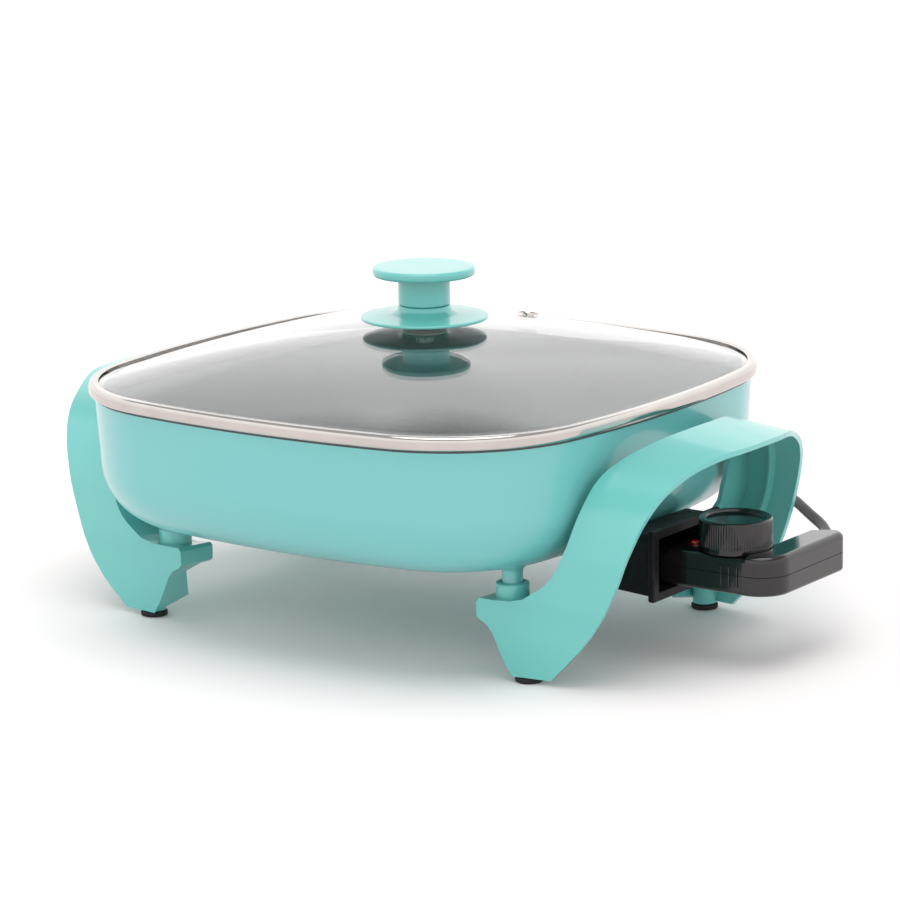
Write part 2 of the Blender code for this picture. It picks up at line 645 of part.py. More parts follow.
def build_housing(control):
    lower = add_mesh("control_housing_lower",
                     prism(body_outline(0.0), BODY_LOW, SPLIT_Z - 0.15), "black", control)
    tray = add_mesh("guide_lower_hollow", prism(body_outline(SHELL), BODY_LOW + SHELL, SPLIT_Z + 5),
                    "black", control)
    combine(lower, tray, "DIFFERENCE")
    upper = add_mesh("control_housing_upper",
                     prism(body_outline(0.0), SPLIT_Z + 0.15, BODY_HIGH), "black", control)
    grip = add_mesh("guide_grip", prism(grip_outline(0.6), SPLIT_Z + 2.0, HEAD_HIGH), "black", control)
    combine(upper, grip, "UNION")
    lid = add_mesh("guide_upper_hollow", prism(body_outline(SHELL), SPLIT_Z - 5, NOSE_HIGH - SHELL),
                   "black", control)
    combine(upper, lid, "DIFFERENCE")
    for half, name in ((lower, "lower"), (upper, "upper")):
        tool = add_mesh(f"guide_control_holes_{name}", control_cutters(), "black", control)
        combine(half, tool, "DIFFERENCE")
    dial_room = turned([(DIAL_RADIUS + 0.6, DIAL_LOW - GAP), (DIAL_RADIUS + 0.6, DIAL_HIGH)],
                       (DIAL_X, 0.0), steps=36)
    combine(upper, add_mesh("guide_dial_room", dial_room, "black", control), "DIFFERENCE")
    nose_step = box((NOSE_X - 5.0, -25.0, NOSE_HIGH), (GUARD_MOUTH, 25.0, HEAD_HIGH + 5.0))
    combine(upper, add_mesh("guide_nose_step", nose_step, "black", control), "DIFFERENCE")
    top_holes = merge([turned([(3.5, 50.0), (3.5, 70.0)], (DIAL_X, 0.0), steps=16),
                       turned([(3.0, 54.0), (3.0, 64.0)], (167.0, 0.0), steps=16)])
    combine(upper, add_mesh("guide_control_top_holes", top_holes, "black", control), "DIFFERENCE")
    screw_spots = [(207.0, -9.0), (214.5, 16.0), (214.0, 46.0)]
    stubs = merge([turned([(3.2, BODY_LOW + 2.6), (3.2, NOSE_HIGH)], spot, steps=12)
                   for spot in screw_spots])
    combine(upper, add_mesh("guide_screw_stubs", stubs, "black", control), "UNION")
    for half, name in ((lower, "lower"), (upper, "upper")):
        drill = merge([turned([(1.7, 35.0), (1.7, 49.0)], spot, steps=12) for spot in screw_spots])
        combine(half, add_mesh(f"guide_screw_holes_{name}", drill, "black", control), "DIFFERENCE")
    screws = [turned([(2.6, BODY_LOW - 1.6), (2.6, BODY_LOW - GAP), (1.4, BODY_LOW - GAP),
                      (1.4, BODY_LOW + 6.0)], spot, steps=12) for spot in screw_spots]
    add_each("housing_screw", screws, "steel", control)


def build_control_inside(control):
    tip = [(1.2, 0.0), (2.7, 2.0), (2.7, 64.0), (3.4, 64.0), (3.4, 66.0)]
    add_mesh("sensor_probe", along_x(turned(tip, steps=16), 68.0, 0.0, PIN_Z), "steel", control)
    sleeves = [along_x(turned([(2.5, 0.0), (3.3, 0.0), (3.3, 22.0), (2.5, 22.0)], hollow=True, steps=16),
                       NOSE_X - 1.5, s * PIN_Y, PIN_Z) for s in (1, -1)]
    add_each("contact_sleeve", sleeves, "brass", control)
    add_mesh("bimetal_blade", box((136.0, -3.0, 52.4), (182.0, 3.0, 53.2)), "steel", control)
    arms = [box((149.0, s * PIN_Y - 2.2, 50.4), (196.0, s * PIN_Y + 2.2, 51.2)) for s in (1, -1)]
    add_each("contact_arm", arms, "brass", control)
    lamp = turned([(1.6, 45.0), (2.2, 46.0), (2.2, 52.0), (1.2, 53.6)], (210.0, 26.0), steps=12)
    add_mesh("indicator_lamp", lamp, "glass", control)
    lens = turned([(2.7, 56.0), (2.7, 59.9), (1.9, 60.6)], (167.0, 0.0), steps=16)
    add_mesh("indicator_lens", lens, "red", control)


def build_dial(dial):
    spot = (DIAL_X, 0.0)
    shaft = [(7.5, 52.0), (7.5, 54.0), (3.1, 54.0), (3.1, 68.0)]
    add_mesh("dial_shaft", turned(shaft, spot), "brass", dial)
    rim = [(DIAL_RADIUS - 0.6, DIAL_LOW), (DIAL_RADIUS, DIAL_LOW + 0.8),
           (DIAL_RADIUS, DIAL_HIGH - 1.2), (DIAL_RADIUS - 1.2, DIAL_HIGH), (DIAL_RADIUS - 2.6, DIAL_HIGH),
           (DIAL_RADIUS - 3.6, DIAL_HIGH - 1.0), (DIAL_RADIUS - 3.6, DIAL_HIGH - 2.2)]
    knob = add_mesh("control_dial", turned(rim, spot, steps=36), "black", dial)
    bore = turned([(3.4, DIAL_LOW - 2.0), (3.4, 68.6)], spot, steps=16)
    combine(knob, add_mesh("guide_dial_bore", bore, "black", dial), "DIFFERENCE")


# ======================================================================================
# Cord: strain relief, free run, coil and plug, all carried by the control
# ======================================================================================
def cord_route():
    """Knots of the free run, from the strain relief's end to where the coil begins."""
    away = cord_direction()
    start = Vector((*CORD_EXIT, SPLIT_Z)) + away * (RELIEF_LENGTH + GAP)
    floor = CORD_RADIUS + 0.2
    return [start, start + away * 10.0, (184.5, 98.0, 50.6), (170.4, 112.3, 50.6),
            (158.0, 125.0, 50.6), (145.5, 138.0, 50.3), (132.0, 151.0, 48.2), (116.5, 165.0, 42.5),
            (98.5, 179.5, 33.5),
            (79.0, 194.0, 22.5), (59.0, 208.0, 12.5), (38.0, 220.0, 5.8), (16.0, 229.0, floor),
            (-8.0, 231.5, floor), (-30.0, 228.8, floor),
            (-67.4, COIL_CENTRE[1] - COIL_OUTER, floor)]


def build_cord(control):
    relief = turned([(4.3, -5.0), (4.3, 5.0), (4.1, 12.0), (3.6, RELIEF_LENGTH)], steps=16)
    bmesh.ops.transform(relief, matrix=exit_matrix(), verts=relief.verts)
    add_mesh("strain_relief", relief, "rubber", control)
    add_tube("cord_run", smooth_curve(cord_route(), 3), CORD_RADIUS, "black", control)

    inner, outer, top = COIL_MEAN - 6.8, COIL_MEAN + 6.8, 13.2
    ring = [(inner, 1.0), (inner + 1, 0.2), (outer - 1, 0.2), (outer, 1.0), (outer, 6.0),
            (outer - 3, top), (inner + 3, top), (inner, 6.0)]
    add_mesh("cord_coil", turned(ring, COIL_CENTRE, hollow=True, steps=32), "black", control)


def build_plug(control):
    """Two-blade plug whose tail meets the coil, with its blades towards -X."""
    middle = (-145.5, COIL_CENTRE[1] - COIL_INNER)
    low, high = 0.2, 17.0
    outline = [(-16.0, -12.0), (2.0, -12.0), (14.0, -6.5), (20.0, -4.5), (20.0, 4.5), (14.0, 6.5),
               (2.0, 12.0), (-16.0, 12.0)]
    plan = [(middle[0] + u, middle[1] + v) for u, v in outline]
    add_mesh("plug_body", prism(plan, low, high), "black", control)
    blades = []
    for s in (1, -1):
        centre = middle[1] + s * 6.35
        blades.append(box((middle[0] - 32.3, centre - 0.75, 5.4), (middle[0] - 16.3, centre + 0.75, 11.8)))
    add_each("plug_blade", blades, "brass", control)


def main():
    clear_scene()
    base = make_frame("base_frame", (0.0, 0.0, 0.0))
    lid = make_frame("lid_axis", (0.0, 0.0, BAND_LOW), base)
    control = make_frame("control_axis", (NOSE_X, 0.0, PIN_Z), base)
    dial = make_frame("dial_axis", (DIAL_X, 0.0, DIAL_LOW), control)
    build_pan(base)
    build_element(base)
    build_guard(base)
    build_handle("handle_right", 1, base)
    build_handle("handle_left", -1, base)
    build_feet(base)
    build_lid(lid)
    build_knob(lid)
    build_housing(control)
    build_control_inside(control)
    build_dial(dial)
    build_cord(control)
    build_plug(control)


main()
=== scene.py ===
"""Looks of the square electric skillet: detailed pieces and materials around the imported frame.

Shapes are worked out in the design frame of the CAD source: millimetres, with the pan's
centre axis at X = Y = 0 and the floor at Z = 0.  Every mesh is written in metres.
"""

import math

import bmesh
import bpy
from mathutils import Matrix, Vector


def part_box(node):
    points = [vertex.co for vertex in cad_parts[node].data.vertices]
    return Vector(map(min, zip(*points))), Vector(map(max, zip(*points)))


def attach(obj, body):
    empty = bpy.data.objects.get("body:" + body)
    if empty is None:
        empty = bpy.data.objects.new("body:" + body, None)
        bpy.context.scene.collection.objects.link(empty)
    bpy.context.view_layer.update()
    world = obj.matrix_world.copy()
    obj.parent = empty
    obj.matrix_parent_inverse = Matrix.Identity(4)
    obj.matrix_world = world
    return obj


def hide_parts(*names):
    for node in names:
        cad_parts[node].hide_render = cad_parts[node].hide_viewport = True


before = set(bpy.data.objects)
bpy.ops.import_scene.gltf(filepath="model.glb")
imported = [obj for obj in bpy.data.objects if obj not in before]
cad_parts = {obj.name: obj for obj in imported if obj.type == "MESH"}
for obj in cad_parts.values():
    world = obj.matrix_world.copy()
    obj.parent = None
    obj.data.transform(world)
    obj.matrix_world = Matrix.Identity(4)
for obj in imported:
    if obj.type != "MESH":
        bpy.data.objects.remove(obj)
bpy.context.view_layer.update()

MM = 0.001
PAN_LOW, PAN_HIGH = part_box("pan_body")
PAN_X = (PAN_LOW[0] + PAN_HIGH[0]) / 2 / MM      # the pan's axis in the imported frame

# ---- pan and lid ---------------------------------------------------------------------
LID_HALF = 154.9             # half the lid band's width across the middle of its sides
CORNER_RADIUS = 84.0
BOW_RADIUS = 562.0           # the four sides bow outwards gently
BAND_LOW = 126.3
BAND_HIGH = 133.3
PAN_LIP = 126.0
PAN_INSET = 3.0              # pan wall inside the lid band's outline, at the lip
PAN_DRAFT = 2.0              # more inset at the foot of the straight wall
PAINTED_LIP_SHADE = 1.2               # painted shade: the pan's dark inner finish runs this far down the outer wall, standing in for the shadow gap under the lid band
PAN_BOTTOM = 57.0
PAN_FLOOR = 63.0
BASE_FILLET = 35.0
WALL = 3.5
ELEMENT_RADIUS = 84.0
GLASS_THICK = 4.0
GLASS_RISE = 22.8
GLASS_RIM_TOP = 132.2
GLASS_HOLE = 4.5
GLASS_EDGE = 7.0             # inset where the flat rim of the glass turns into the dome
APEX = GLASS_RIM_TOP + GLASS_RISE
SIDE_STEPS = 14
CORNER_STEPS = 18

# ---- knob ----------------------------------------------------------------------------
KNOB_TOP = 187.4
KNOB_RADIUS = 27.0
STEM_RADIUS = 13.75
KNOB_SPLIT = 167.0
FLANGE_RADIUS = 33.5
FLANGE_LOW = 159.4

# ---- handles and feet ----------------------------------------------------------------
HANDLE_OUT = 206.8
PLATE = 2.8
FLANGE = 2.5
FOOT_LOW = 3.0
PAD_CENTRE = (121.0, -84.0)
PAD_RADIUS = 7.15
BOSS_CENTRE = (108.5, -79.5)
BOSS_RADIUS = 5.4
COLLAR_RADIUS = 8.7
HOOK_TOP = 41.3
COLLAR_TOP = HOOK_TOP + 7.4
SEAT_Z = HOOK_TOP - 3.2      # flat seat of the handle screws, under the hook's roof

# ---- control -------------------------------------------------------------------------
PIN_Z = 51.0
PIN_Y = 10.5
GRIP_CENTRE = (206.0, -1.0)
GRIP_BEND = 17.0
GRIP_END = (216.0, 51.0)
GRIP_END_RADIUS = 7.0
NECK_X = 204.0
BODY_LOW = 40.5
BODY_HIGH = 59.2
HEAD_HIGH = 61.0
STEP_X = 204.4               # the grip stands a little proud of the body from here
STEP = 0.7
SPLIT_Z = 50.6
SHELL = 2.0
NOSE_X = 128.0
NOSE_HALF = 16.0
NOSE_HIGH = 56.6
BODY_HALF = 18.0
DIAL_X = 190.8
DIAL_RADIUS = 18.7
DIAL_LOW = 59.6
DIAL_HIGH = 76.5
KNURL_RIDGES = 84
KNURL_DEPTH = 0.28
GUARD_HALF = 30.0
GUARD_BACK = 119.0
GUARD_MOUTH = 161.0
GUARD_FLOOR = (38.5, 36.0)   # heights of the sloping floor at the back and at the mouth
GUARD_ROOF = 68.5
GUARD_WALL = 2.2
GUARD_SCREW = (110.0, 25.0)

# ---- cord ----------------------------------------------------------------------------
CORD_RADIUS = 3.2
CORD_EXIT = (210.3, 54.0)
CORD_HEADING = math.radians(115.6)
LOBE_RADIUS = 2.15           # each of the twin flex's two round lobes
RELIEF_LENGTH = 22.0
RELIEF_RADIUS = 4.3
COIL_CENTRE = (-90.0, 262.0)
COIL_MEAN = 32.8
COIL_OUTER = COIL_MEAN + CORD_RADIUS
COIL_INNER = COIL_MEAN - CORD_RADIUS
CORD_FLOOR = CORD_RADIUS + 0.2
PLUG_MIDDLE = (-145.5, COIL_CENTRE[1] - COIL_INNER)
PLUG_Z = 8.6

ROUND = 64                   # steps round a full turn


# ==== Camera ==========================================================================
def place(x, y, z):
    """A point of the design frame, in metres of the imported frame."""
    return Vector((x + PAN_X, y, z)) * MM


def make_camera():
    """The viewing angle, with the pan's centre a little left of and above the middle."""
    azimuth, elevation, roll = 0.6161, 0.2202, -0.0151
    distance = 2074.28
    aim_height, aim_right, aim_down = 90.0, 12.3475, 1.8145
    back = Vector((math.sin(azimuth) * math.cos(elevation),
                   -math.cos(azimuth) * math.cos(elevation), math.sin(elevation)))
    level = Vector((math.cos(azimuth), math.sin(azimuth), 0.0))
    upright = back.cross(level)
    right = level * math.cos(roll) + upright * math.sin(roll)
    up = upright * math.cos(roll) - level * math.sin(roll)
    aim = Vector((0.0, 0.0, aim_height)) + right * aim_right - up * aim_down
    eye = aim + back * distance
    data = bpy.data.cameras.new("view")
    data.lens = 156.44
    data.sensor_width = 36.0
    data.clip_start, data.clip_end = 0.05, 30.0
    camera = bpy.data.objects.new("view", data)
    bpy.context.scene.collection.objects.link(camera)
    camera.matrix_world = (Matrix.Translation(place(*eye))
                           @ Matrix((right, up, back)).transposed().to_4x4())
    bpy.context.scene.camera = camera


make_camera()


# ==== Materials =======================================================================
def surface(name, color, roughness, metallic=0.0, coat=0.0, coat_roughness=0.05,
            mottle=0.04, mottle_scale=60.0, rough_spread=0.05, rough_scale=120.0,
            bump=0.0, bump_scale=900.0, specular=0.5):
    """Principled finish with mottled colour, uneven roughness and a fine bump."""
    made = bpy.data.materials.new(name)
    made.use_nodes = True
    nodes, links = made.node_tree.nodes, made.node_tree.links
    shader = nodes["Principled BSDF"]
    shader.inputs["Metallic"].default_value = metallic
    shader.inputs["Coat Weight"].default_value = coat
    shader.inputs["Coat Roughness"].default_value = coat_roughness
    shader.inputs["Specular IOR Level"].default_value = specular
    coords = nodes.new("ShaderNodeTexCoord")

    def noise(scale, detail=3.0):
        made_noise = nodes.new("ShaderNodeTexNoise")
        made_noise.inputs["Scale"].default_value = scale
        made_noise.inputs["Detail"].default_value = detail
        links.new(coords.outputs["Object"], made_noise.inputs["Vector"])
        return made_noise

    ramp = nodes.new("ShaderNodeValToRGB")
    for stop, factor in zip(ramp.color_ramp.elements, (1 - mottle, 1 + mottle)):
        stop.color = (*[min(c * factor, 1.0) for c in color], 1.0)
    ramp.color_ramp.elements[0].position = 0.3
    ramp.color_ramp.elements[1].position = 0.7
    links.new(noise(mottle_scale).outputs["Fac"], ramp.inputs["Fac"])
    links.new(ramp.outputs["Color"], shader.inputs["Base Color"])

    spread = nodes.new("ShaderNodeMapRange")
    spread.inputs["From Min"].default_value = 0.3
    spread.inputs["From Max"].default_value = 0.7
    spread.inputs["To Min"].default_value = max(roughness - rough_spread, 0.02)
    spread.inputs["To Max"].default_value = roughness + rough_spread
    links.new(noise(rough_scale).outputs["Fac"], spread.inputs["Value"])
    links.new(spread.outputs["Result"], shader.inputs["Roughness"])

    if bump > 0:
        height = nodes.new("ShaderNodeBump")
        height.inputs["Strength"].default_value = bump
        height.inputs["Distance"].default_value = 0.0001
        links.new(noise(bump_scale, 2.0).outputs["Fac"], height.inputs["Height"])
        links.new(height.outputs["Normal"], shader.inputs["Normal"])
    return made


def clear_glass(name, color):
    """Solid glass that lets lamp light through to what lies behind it."""
    made = bpy.data.materials.new(name)
    made.use_nodes = True
    nodes, links = made.node_tree.nodes, made.node_tree.links
    shader = nodes["Principled BSDF"]
    shader.inputs["Base Color"].default_value = (*color, 1.0)
    shader.inputs["Roughness"].default_value = 0.0
    shader.inputs["IOR"].default_value = 1.5
    shader.inputs["Transmission Weight"].default_value = 1.0
    path = nodes.new("ShaderNodeLightPath")
    passing = nodes.new("ShaderNodeBsdfTransparent")
    passing.inputs["Color"].default_value = (0.92, 0.95, 0.94, 1.0)
    mix = nodes.new("ShaderNodeMixShader")
    links.new(path.outputs["Is Shadow Ray"], mix.inputs["Fac"])
    links.new(shader.outputs["BSDF"], mix.inputs[1])
    links.new(passing.outputs["BSDF"], mix.inputs[2])
    links.new(mix.outputs["Shader"], nodes["Material Output"].inputs["Surface"])
    return made


# the enamel and the handle plastic are an even gloss, with no variation to be seen
ENAMEL = surface("enamel", (0.143, 0.482, 0.472), 0.32, coat=0.7, coat_roughness=0.08,
                 mottle=0.0, rough_spread=0.0)
HANDLE_PLASTIC = surface("handle_plastic", (0.128, 0.488, 0.455), 0.30, coat=0.6,
                         coat_roughness=0.07, mottle=0.0, rough_spread=0.0)
NONSTICK_AND_LIP_SHADE = surface("nonstick_and_lip_shade", (0.045, 0.047, 0.050), 0.42, mottle=0.25, mottle_scale=900.0,
                   rough_spread=0.08, bump=0.25, bump_scale=1500.0)
STAINLESS = surface("stainless", (0.56, 0.525, 0.50), 0.10, metallic=1.0, mottle=0.05,
                    mottle_scale=40.0, rough_spread=0.03, rough_scale=70.0)
ZINC = surface("zinc", (0.66, 0.67, 0.68), 0.33, metallic=1.0, mottle=0.10, mottle_scale=300.0,
               rough_spread=0.10, rough_scale=500.0, bump=0.15)
ELEMENT = surface("element_steel", (0.30, 0.27, 0.24), 0.45, metallic=1.0, mottle=0.30,
                  mottle_scale=70.0, rough_spread=0.12, rough_scale=300.0, bump=0.20)
BRASS = surface("brass", (0.78, 0.58, 0.27), 0.26, metallic=1.0, mottle=0.08, mottle_scale=200.0,
                rough_spread=0.08, bump=0.06)
NICKEL = surface("blade_metal", (0.74, 0.70, 0.60), 0.24, metallic=1.0, mottle=0.06,
                 mottle_scale=260.0, rough_spread=0.08, bump=0.05)
GLOSS_BLACK = surface("black_phenolic", (0.009, 0.008, 0.009), 0.16, coat=0.45,
                      coat_roughness=0.06, mottle=0.25, mottle_scale=260.0, rough_spread=0.03,
                      specular=0.4)
GUARD_BLACK = surface("guard_phenolic", (0.008, 0.008, 0.009), 0.50, mottle=0.25,
                      mottle_scale=260.0, rough_spread=0.08, bump=0.20, bump_scale=1100.0,
                      specular=0.2)
CORD_JACKET = surface("cord_jacket", (0.006, 0.006, 0.007), 0.24, mottle=0.2,
                      mottle_scale=120.0, rough_spread=0.04, specular=0.06)
RUBBER = surface("rubber", (0.016, 0.016, 0.016), 0.62, mottle=0.2, mottle_scale=400.0,
                 rough_spread=0.10, bump=0.20, bump_scale=1600.0, specular=0.25)
SILICONE = surface("silicone", (0.62, 0.64, 0.62), 0.55, mottle=0.05, mottle_scale=300.0,
                   rough_spread=0.08, bump=0.10)
CERAMIC = surface("ceramic", (0.80, 0.77, 0.70), 0.50, mottle=0.06, mottle_scale=300.0,
                  rough_spread=0.10, bump=0.20)
LID_GLASS = clear_glass("lid_glass", (0.975, 0.99, 0.985))
LAMP_GLASS = clear_glass("lamp_glass", (1.0, 0.80, 0.62))
RED_LENS = surface("red_lens", (0.42, 0.010, 0.008), 0.12, coat=1.0, coat_roughness=0.03,
                   mottle=0.10, mottle_scale=500.0, rough_spread=0.04)


# ==== Mesh tools ======================================================================
def loft(bm, rings, closed_loop=False, band_material=None):
    """Skin rings of equal length, then cap both ends or join the last ring to the first.

    band_material gives the material index of the band of faces after each ring.
    """
    rows = [[bm.verts.new(point) for point in ring] for ring in rings]
    count = len(rows[0])
    pairs = list(zip(rows, rows[1:]))
    if closed_loop:
        pairs.append((rows[-1], rows[0]))
    for number, (low, high) in enumerate(pairs):
        for index in range(count):
            after = (index + 1) % count
            face = bm.faces.new((low[index], low[after], high[after], high[index]))
            if band_material is not None:
                face.material_index = band_material(number)
    if not closed_loop:
        first, last = bm.faces.new(rows[0]), bm.faces.new(rows[-1])
        if band_material is not None:
            first.material_index = band_material(0)
            last.material_index = band_material(len(pairs) - 1)


def circle(radius, height, centre=(0.0, 0.0), steps=ROUND):
    angles = [2 * math.pi * index / steps for index in range(steps)]
    return [(centre[0] + radius * math.cos(a), centre[1] + radius * math.sin(a), height)
            for a in angles]


def turned(profile, centre=(0.0, 0.0), hollow=False, steps=ROUND):
    """A solid turned about a vertical axis from (radius, height) pairs."""
    bm = bmesh.new()
    loft(bm, [circle(r, z, centre, steps) for r, z in profile], hollow)
    return bm


def along_x(bm, low, centre_y, centre_z):
    lay = Matrix.Translation((low, centre_y, centre_z)) @ Matrix.Rotation(math.pi / 2, 4, "Y")
    bmesh.ops.transform(bm, matrix=lay, verts=bm.verts)
    return bm


def rod_x(radius, low, high, centre_y, centre_z, steps=32):
    return along_x(turned([(radius, 0), (radius, high - low)], steps=steps),
                   low, centre_y, centre_z)


def prism(outline, low, high, axis="Z"):
    """Extrude a flat outline along an axis; a Y prism's outline is in X and Z."""
    axes = {"Z": lambda u, v, w: (u, v, w), "Y": lambda u, v, w: (u, w, v)}[axis]
    bm = bmesh.new()
    loft(bm, [[axes(u, v, w) for u, v in outline] for w in (low, high)])
    return bm


def box(low, high):
    outline = [(low[0], low[1]), (high[0], low[1]), (high[0], high[1]), (low[0], high[1])]
    return prism(outline, low[2], high[2])


def merge(parts):
    """Several separate solids in one bmesh."""
    whole = bmesh.new()
    for part in parts:
        scratch = bpy.data.meshes.new("scratch")
        part.to_mesh(scratch)
        part.free()
        whole.from_mesh(scratch)
        bpy.data.meshes.remove(scratch)
    return whole


def arc(centre, radius, start, end, steps):
    """Points of an arc in degrees, both ends included."""
    angles = [math.radians(start + (end - start) * k / steps) for k in range(steps + 1)]
    return [(centre[0] + radius * math.cos(a), centre[1] + radius * math.sin(a)) for a in angles]


def rounded(profile, radius, steps=4):
    """Round every inner corner of an open profile by a radius, as far as its sides allow."""
    points = [Vector(p) for p in profile]
    curve = [tuple(points[0])]
    for before, here, after in zip(points, points[1:], points[2:]):
        back, ahead = before - here, after - here
        reach = min(radius, back.length * 0.45, ahead.length * 0.45)
        start = here + back.normalized() * reach
        end = here + ahead.normalized() * reach
        for step in range(steps + 1):
            t = step / steps
            curve.append(tuple(start * (1 - t) ** 2 + here * 2 * t * (1 - t) + end * t ** 2))
    curve.append(tuple(points[-1]))
    return curve


def smooth_curve(points, steps):
    """Catmull-Rom curve through 3-D points, with a number of steps per span."""
    knots = [Vector(p) for p in points]
    knots = [2 * knots[0] - knots[1], *knots, 2 * knots[-1] - knots[-2]]
    curve = []
    for index in range(1, len(knots) - 2):
        before, start, end, after = knots[index - 1:index + 3]
        for step in range(steps):
            t = step / steps
            curve.append(0.5 * (2 * start + (end - before) * t
                                + (2 * before - 5 * start + 4 * end - after) * t ** 2
                                + (3 * start - before - 3 * end + after) * t ** 3))
    curve.append(knots[-2])
    return curve


def mirrored_corners(centre):
    return [(side * centre[0], end * centre[1]) for side in (1, -1) for end in (1, -1)]


def plain_object(name, bm, materials=()):
    bmesh.ops.recalc_face_normals(bm, faces=bm.faces)
    bmesh.ops.transform(bm, matrix=Matrix.Scale(MM, 4) @ Matrix.Translation((PAN_X, 0, 0)),
                        verts=bm.verts)
    mesh = bpy.data.meshes.new(name)
    bm.to_mesh(mesh)
    bm.free()
    for material in materials:
        mesh.materials.append(material)
    item = bpy.data.objects.new(name, mesh)
    bpy.context.scene.collection.objects.link(item)
    return item


def settle(item):
    """Turn the piece's modifiers into plain mesh."""
    graph = bpy.context.evaluated_depsgraph_get()
    made = bpy.data.meshes.new_from_object(item.evaluated_get(graph))
    old = item.data
    item.modifiers.clear()
    item.data = made
    bpy.data.meshes.remove(old)
    made.name = item.name


def soften(item, width, segments=3, angle=32):
    """Round the sharp edges of a piece."""
    step = item.modifiers.new("soften", "BEVEL")
    step.width = width * MM
    step.segments = segments
    step.limit_method = "ANGLE"
    step.angle_limit = math.radians(angle)
    step.miter_outer = "MITER_ARC"
    settle(item)


def combine(item, tool_bm, operation, soft=0.0):
    """Add or cut a tool, which may have its own edges rounded first."""
    tool = plain_object("tool", tool_bm)
    if soft:
        soften(tool, soft, 2)
    step = item.modifiers.new("combine", "BOOLEAN")
    step.operation = operation
    step.solver = "EXACT"
    step.object = tool
    settle(item)
    bpy.data.objects.remove(tool, do_unlink=True)


def finish_piece(item, material, body, stands_for=(), smooth=38):
    """Give a piece its shading, material and body, and hide the CAD nodes it stands for.

    A piece that already has materials passes None and keeps them.
    """
    mesh = item.data
    mesh.shade_smooth()
    mesh.set_sharp_from_angle(angle=math.radians(smooth))
    if material is not None:
        mesh.materials.clear()
        mesh.materials.append(material)
    even = item.modifiers.new("even_normals", "WEIGHTED_NORMAL")
    even.keep_sharp = True
    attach(item, body)
    if stands_for:
        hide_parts(*stands_for)
    return item


def add_piece(name, bm, material, body, stands_for=(), smooth=38):
    return finish_piece(plain_object(name, bm), material, body, stands_for, smooth)


def swept(route, ring_of, closed=False):
    """A tube along points; ring_of gives the section's points in the frame's two axes."""
    points = [Vector(p) for p in route]
    bm = bmesh.new()
    rings = []
    for index, point in enumerate(points):
        before = points[max(index - 1, 0)]
        after = points[min(index + 1, len(points) - 1)]
        along = (after - before).normalized()
        side = along.cross(Vector((0, 0, 1))).normalized()
        up = side.cross(along).normalized()
        rings.append([point + side * u + up * v for u, v in ring_of])
    loft(bm, rings, closed)
    return bm


def round_section(radius, steps=24):
    return [(radius * math.cos(2 * math.pi * k / steps), radius * math.sin(2 * math.pi * k / steps))
            for k in range(steps)]


# ==== Cord ============================================================================
def cord_direction():
    return Vector((math.cos(CORD_HEADING), math.sin(CORD_HEADING), 0.0))


def exit_matrix():
    """Frame at the cord exit whose +Z points along the leaving cord."""
    turn = cord_direction().to_track_quat("Z", "X").to_matrix().to_4x4()
    return Matrix.Translation((CORD_EXIT[0], CORD_EXIT[1], SPLIT_Z)) @ turn


def cord_run():
    """Straight out of the relief, over the edge and down, then along the floor to the coil."""
    away = cord_direction()
    start = Vector((*CORD_EXIT, SPLIT_Z)) + away * RELIEF_LENGTH
    return [start, start + away * 10.0, (184.5, 98.0, 50.6), (170.4, 112.3, 50.6),
            (158.0, 125.0, 50.6), (145.5, 138.0, 50.3), (132.0, 151.0, 48.2), (116.5, 165.0, 42.5),
            (98.5, 179.5, 33.5), (79.0, 194.0, 22.5), (59.0, 208.0, 12.5), (38.0, 220.0, 5.8),
            (16.0, 229.0, CORD_FLOOR), (-8.0, 231.5, CORD_FLOOR), (-30.0, 228.8, CORD_FLOOR),
            (-52.0, 226.6, CORD_FLOOR), (-70.0, COIL_CENTRE[1] - COIL_OUTER, CORD_FLOOR)]


def ease(share):
    """Smooth step from 0 to 1."""
    share = min(max(share, 0.0), 1.0)
    return share * share * (3 - 2 * share)


def coil_turns():
    """Two flat turns, the second inside the first, then a low hump over both to the plug."""
    turns = []
    for degrees in range(0, 716, 15):
        angle = math.radians(-90 - degrees)
        radius = COIL_OUTER - (COIL_OUTER - COIL_INNER) * ease((degrees - 250) / 130)
        rise = 2 * CORD_RADIUS * ease((degrees - 590) / 125)
        turns.append(Vector((COIL_CENTRE[0] + radius * math.cos(angle),
                             COIL_CENTRE[1] + radius * math.sin(angle), CORD_FLOOR + rise)))
    over = CORD_FLOOR + 2 * CORD_RADIUS
    tail = [(COIL_CENTRE[0] - 12.0, PLUG_MIDDLE[1], over),
            (COIL_CENTRE[0] - 24.0, PLUG_MIDDLE[1], over),
            (PLUG_MIDDLE[0] + 18.0, PLUG_MIDDLE[1], PLUG_Z)]
    return turns + [Vector(p) for p in tail]


def twin_section():
    """A twin flex stood on edge: two round lobes with a shallow groove on each side."""
    centre = CORD_RADIUS - LOBE_RADIUS
    points = []
    for k in range(28):
        angle = 2 * math.pi * k / 28
        u, v = math.cos(angle), math.sin(angle)
        reach = abs(v) * centre + math.sqrt(max(LOBE_RADIUS ** 2 - (centre * u) ** 2, 0.0))
        points.append((u * reach, v * reach))
    return points


def relief_profile():
    """Tapered sleeve with a groove every few millimetres along its length."""
    profile = [(CORD_RADIUS, -5.0), (RELIEF_RADIUS, -5.0), (RELIEF_RADIUS, 2.0)]
    z = 2.0
    while z < RELIEF_LENGTH - 3.0:
        radius = RELIEF_RADIUS - 0.7 * z / RELIEF_LENGTH
        groove = radius - 0.55
        profile += [(radius, z), (radius, z + 1.6), (groove, z + 1.8), (groove, z + 2.5),
                    (radius - 0.03, z + 2.7)]
        z += 2.8
    return profile + [(3.7, RELIEF_LENGTH - 2.0), (3.6, RELIEF_LENGTH - 0.5),
                      (3.3, RELIEF_LENGTH)]


